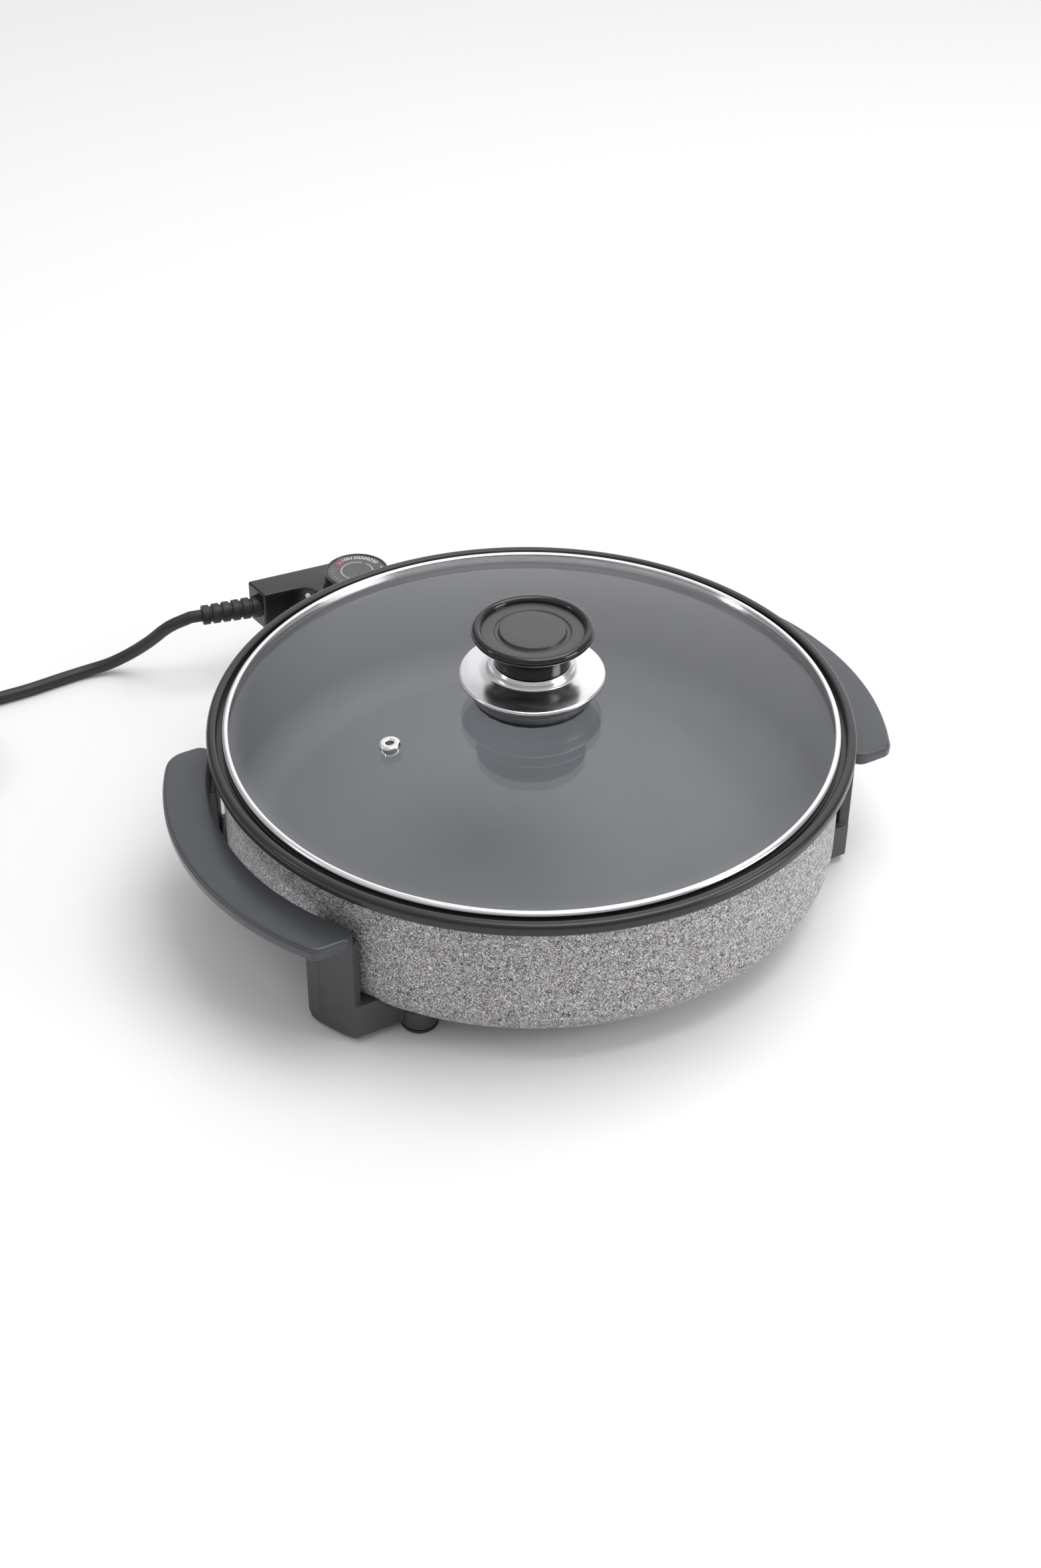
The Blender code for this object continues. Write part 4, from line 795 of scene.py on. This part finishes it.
def arm_line(x, side):
    """Y of the arm's outer (side 0) or inner (side 1) edge at a given x."""
    return CASE_BACK + math.tan(ARM_SLOPE) * x - side * ARM_WIDTH


def case_outline():
    """The case from above, counter-clockwise: a body under the dial and an arm that the cord leaves."""
    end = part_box("controller_upper_shell")[0].x - AXIS.x
    outer_end = (end, arm_line(end, 0), 0.0018)
    inner_end = (end + 0.0024, arm_line(end + 0.0024, 1), 0.0018)
    elbow = (-CASE_HALF, arm_line(-CASE_HALF, 1), 0.013)
    body = [(-CASE_HALF, CASE_FRONT, 0.003), (CASE_HALF, CASE_FRONT, 0.003),
            (CASE_HALF, arm_line(CASE_HALF, 0), 0.012)]
    return rounded([outer_end, inner_end, elbow] + body, 12, True)


def upper_case():
    """The upper shell: crisp glossy walls, a soft upper edge and a fine step at the split."""
    wall = 0.0025
    layers = [(wall, CASE_TOP - wall), (wall, CASE_SPLIT + 0.0002), (0.0007, CASE_SPLIT),
              (0.0004, CASE_SPLIT + 0.0003), (0.0004, CASE_SPLIT + 0.0008), (0, CASE_SPLIT + 0.0011)]
    layers += rounding(0.0013, CASE_TOP, True, 8)
    mesh = slab("case_upper", case_outline(), layers)
    hole = lathe("shaft_hole", [(0, 0), (0.0034, 0), (0.0034, 0.1), (0, 0.1)], 48,
                 place=at(AXIS + Vector((0, DIAL_Y, 0))))
    cutter = bpy.data.objects.new("cutter", hole)
    bpy.context.scene.collection.objects.link(cutter)
    cut = {"object": cutter, "operation": 'DIFFERENCE', "solver": 'EXACT'}
    mesh = apply_modifiers(mesh, [('BOOLEAN', cut)])
    bpy.data.objects.remove(cutter)
    mesh.materials.clear()
    add_piece("case_upper", finish_mesh(mesh, 40), [GLOSS_BLACK], "controller",
              ["controller_upper_shell"])


def relief():
    """The ribbed boot: rings with slots that alternate from side to side, shrinking to the cord."""
    inside, length, radius, ribs = 0.006, RELIEF_LENGTH, 0.0069, 5
    crest, slot_depth, slot_width = 0.0058, 0.0013, 0.22
    profile = [(0, length), (CORD_DIAMETER / 2 + 0.0008, length)]
    pitch = (length - 0.003) / ribs
    rib_of = {}
    for i in range(ribs):
        high = length - i * pitch
        reach = radius - 0.0007 * (1 - i / ribs)
        root, low = reach - 0.0012, high - pitch * 0.72
        ring = rounded([(root, high), (reach, high - 0.0002, 0.0006), (reach, low, 0.0006),
                        (root, low - 0.0003), (root, high - pitch * 0.98)], 4)
        for k in range(len(ring)):
            rib_of[len(profile) + k] = i
        profile += ring
    profile += [(radius, 0.0028), (radius, -inside + 0.0018), (radius + 0.0008, -inside + 0.0018)]
    profile += [(radius + 0.0008, -inside), (0, -inside)]

    def slots(i, angle, reach):
        if i not in rib_of:
            return reach
        turn = angle + math.pi / 2 * (rib_of[i] % 2)
        depth = max(0.0, 1 - abs(math.sin(turn)) / slot_width)
        return reach - slot_depth * min(1, depth * 2) * (reach > crest)

    mesh = lathe("cord_boot", profile, 96, place=at(AXIS + RELIEF_START, RELIEF_DIRECTION), radial=slots)
    add_piece("cord_boot", mesh, [RUBBER], "controller", ["strain_relief"])


DIAL_RADIUS = 0.020
DIAL_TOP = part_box("dial")[1].z
DIAL_FACE_Z = DIAL_TOP - 0.0005
MARK_LIFT = 0.00006


def dial():
    """A hollow cap with a raised rim round its face, a flared foot and a hub on the shaft."""
    low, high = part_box("dial")[0].z, DIAL_TOP
    base, hub, bore = radius_of("dial"), 0.0056, 0.0033
    shape = [(0, DIAL_FACE_Z), (DIAL_RADIUS - 0.0020, DIAL_FACE_Z, 0.0003),
             (DIAL_RADIUS - 0.0017, high, 0.0002), (DIAL_RADIUS - 0.0004, high, 0.0004),
             (DIAL_RADIUS, high - 0.0012, 0.0006), (DIAL_RADIUS + 0.0001, low + 0.0046, 0.003),
             (base, low + 0.0008, 0.0004), (base, low), (base - 0.002, low),
             (DIAL_RADIUS - 0.002, high - 0.003), (hub, high - 0.003), (hub, low),
             (bore, low), (bore, high - 0.004), (0, high - 0.004)]
    place = at(AXIS + Vector((0, DIAL_Y, 0)))
    mesh = lathe("dial_cap", rounded(shape, 6), 144, place=place, bands=[(0, 1), (6, 0)])
    add_piece("dial_cap", mesh, [GLOSS_BLACK, DIAL_FACE], "dial", ["dial"])


def dial_spot(radius, angle):
    """A place just above the dial's face, its angle measured as seen from the front left."""
    turn = angle + VIEW_AZIMUTH
    place = Vector((radius * math.cos(turn), DIAL_Y + radius * math.sin(turn), 0))
    return AXIS + place + Vector((0, 0, DIAL_FACE_Z + MARK_LIFT))


def mark_ring(bm, radius, width, start, end, count, index):
    """A thin printed arc on the dial's face."""
    rows = []
    for i in range(count + 1):
        angle = math.radians(start + (end - start) * i / count)
        rows.append([bm.verts.new(dial_spot(radius + side * width / 2, angle)) for side in (-1, 1)])
    for one, other in zip(rows, rows[1:]):
        bm.faces.new((one[0], one[1], other[1], other[0])).material_index = index


def dial_marks():
    """Printed marks: a grey ring in two arcs, tick marks, a red zone and the temperature numbers."""
    white, grey, red = 0, 1, 2
    bm = bmesh.new()
    mark_ring(bm, 0.0098, 0.0009, 75, 260, 48, grey)
    mark_ring(bm, 0.0098, 0.0009, -12, 58, 20, grey)
    mark_ring(bm, 0.0142, 0.0028, 137, 151, 8, red)
    mark_ring(bm, 0.0158, 0.0010, 14, 19, 4, white)
    for angle in range(172, 250, 12):
        mark_ring(bm, 0.0150, 0.0022, angle, angle + 1.6, 2, grey)
    mesh = bpy.data.meshes.new("dial_print")
    bm.to_mesh(mesh)
    bm.free()
    mesh = join_numbers(mesh)
    for polygon in mesh.polygons:
        polygon.use_smooth = False
    add_piece("dial_print", mesh, [PAINT_WHITE, PAINT_GREY, PAINT_RED], "dial")


def join_numbers(mesh):
    """The printed marks together with the numbers round the dial's far side."""
    bm = bmesh.new()
    bm.from_mesh(mesh)
    for number, degrees in (("100", 122), ("150", 98), ("200", 74), ("250", 50)):
        angle = math.radians(degrees)
        curve = bpy.data.curves.new("number", 'FONT')
        curve.body = number
        curve.size = 0.0044
        curve.align_x = 'CENTER'
        curve.align_y = 'CENTER'
        text = bpy.data.objects.new("number", curve)
        bpy.context.scene.collection.objects.link(text)
        shape = bpy.data.meshes.new_from_object(text)
        spin = Matrix.Rotation(angle + VIEW_AZIMUTH - math.pi / 2, 4, 'Z')
        shape.transform(Matrix.Translation(dial_spot(0.0149, angle)) @ spin)
        bm.from_mesh(shape)
        bpy.data.objects.remove(text)
    result = bpy.data.meshes.new("dial_print")
    bm.to_mesh(result)
    bm.free()
    return result


upper_case()
relief()
dial()
dial_marks()


# CAD nodes that keep their shape

def dress(nodes, material):
    """Give CAD nodes a material and soft shading, with their shape as it is."""
    for name in nodes:
        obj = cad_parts[name]
        obj.data.materials.clear()
        obj.data.materials.append(material)
        obj.data.shade_smooth()
        obj.data.set_sharp_from_angle(angle=math.radians(35))


def starting(*stems):
    return [n for n in sorted(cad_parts) if n.startswith(stems)]


dress(starting("knob_gasket", "plug_body"), RUBBER)
dress(starting("leg_screw", "grip_screw", "guard_screw", "case_screw", "knob_screw", "knob_washer"), STEEL)
dress(starting("terminal_pin", "sensor_probe", "dial_shaft", "plug_pin"), STEEL)
dress(["heating_element", "probe_sleeve"], ELEMENT)
dress(["socket_guard"], GUARD)
dress(["thermostat_switch"], BAKELITE)
dress(starting("contact_sleeve"), BRASS)
dress(["controller_lower_shell"], GLOSS_BLACK)
dress(["pilot_lamp"], LENS)


# Studio

def make_floor():
    mesh = bpy.data.meshes.new("floor")
    bm = bmesh.new()
    bmesh.ops.create_circle(bm, cap_ends=True, segments=64, radius=6.0)
    bm.to_mesh(mesh)
    bm.free()
    floor = bpy.data.objects.new("floor", mesh)
    bpy.context.scene.collection.objects.link(floor)
    material, _, _, shader = new_material("pale_floor")
    shader.inputs["Base Color"].default_value = (0.93, 0.93, 0.93, 1)
    shader.inputs["Roughness"].default_value = 0.9
    shader.inputs["Specular IOR Level"].default_value = 0.1
    mesh.materials.append(material)


def make_world():
    """A pale surround, brighter overhead, with a soft glow behind the right of the object."""
    world = bpy.data.worlds.new("studio")
    world.use_nodes = True
    nodes, links = world.node_tree.nodes, world.node_tree.links
    coordinates = nodes.new("ShaderNodeTexCoord")
    split = nodes.new("ShaderNodeSeparateXYZ")
    links.new(coordinates.outputs["Generated"], split.inputs["Vector"])
    sky = ramp(nodes, links, split.outputs["Z"], [(0.0, (0.50, 0.50, 0.51)), (0.35, (0.42, 0.42, 0.43)),
                                                 (1.0, (0.95, 0.95, 0.95))])
    toward = nodes.new("ShaderNodeVectorMath")
    toward.operation = 'DOT_PRODUCT'
    toward.inputs[1].default_value = Vector((0.66, 0.68, 0.34)).normalized()
    links.new(coordinates.outputs["Generated"], toward.inputs[0])
    glow = ramp(nodes, links, toward.outputs["Value"], [(0.72, (0, 0, 0)), (1.0, (1.0, 1.0, 1.0))])
    glow.color_ramp.interpolation = 'EASE'
    add = nodes.new("ShaderNodeVectorMath")
    add.operation = 'MULTIPLY_ADD'
    add.inputs[1].default_value = (1.15, 1.15, 1.18)
    links.new(glow.outputs["Color"], add.inputs[0])
    links.new(sky.outputs["Color"], add.inputs[2])
    links.new(add.outputs["Vector"], nodes["Background"].inputs["Color"])
    nodes["Background"].inputs["Strength"].default_value = 0.82
    bpy.context.scene.world = world


def add_light(name, place, target, size, power):
    data = bpy.data.lights.new(name, 'AREA')
    data.shape = 'SQUARE'
    data.size = size
    data.energy = power
    light = bpy.data.objects.new(name, data)
    bpy.context.scene.collection.objects.link(light)
    light.location = place
    light.rotation_euler = (Vector(place) - Vector(target)).to_track_quat('Z', 'Y').to_euler()


bpy.context.scene.view_settings.view_transform = 'Standard'
make_floor()
make_world()
add_light("overhead", (0.5, -0.1, 2.0), (0, 0, 0), 1.5, 22)
add_light("right", (1.4, -1.5, 0.9), (0, 0, 0.06), 0.9, 13)
add_light("left", (-2.0, 0.9, 1.4), (0, 0, 0.1), 0.3, 3.0)
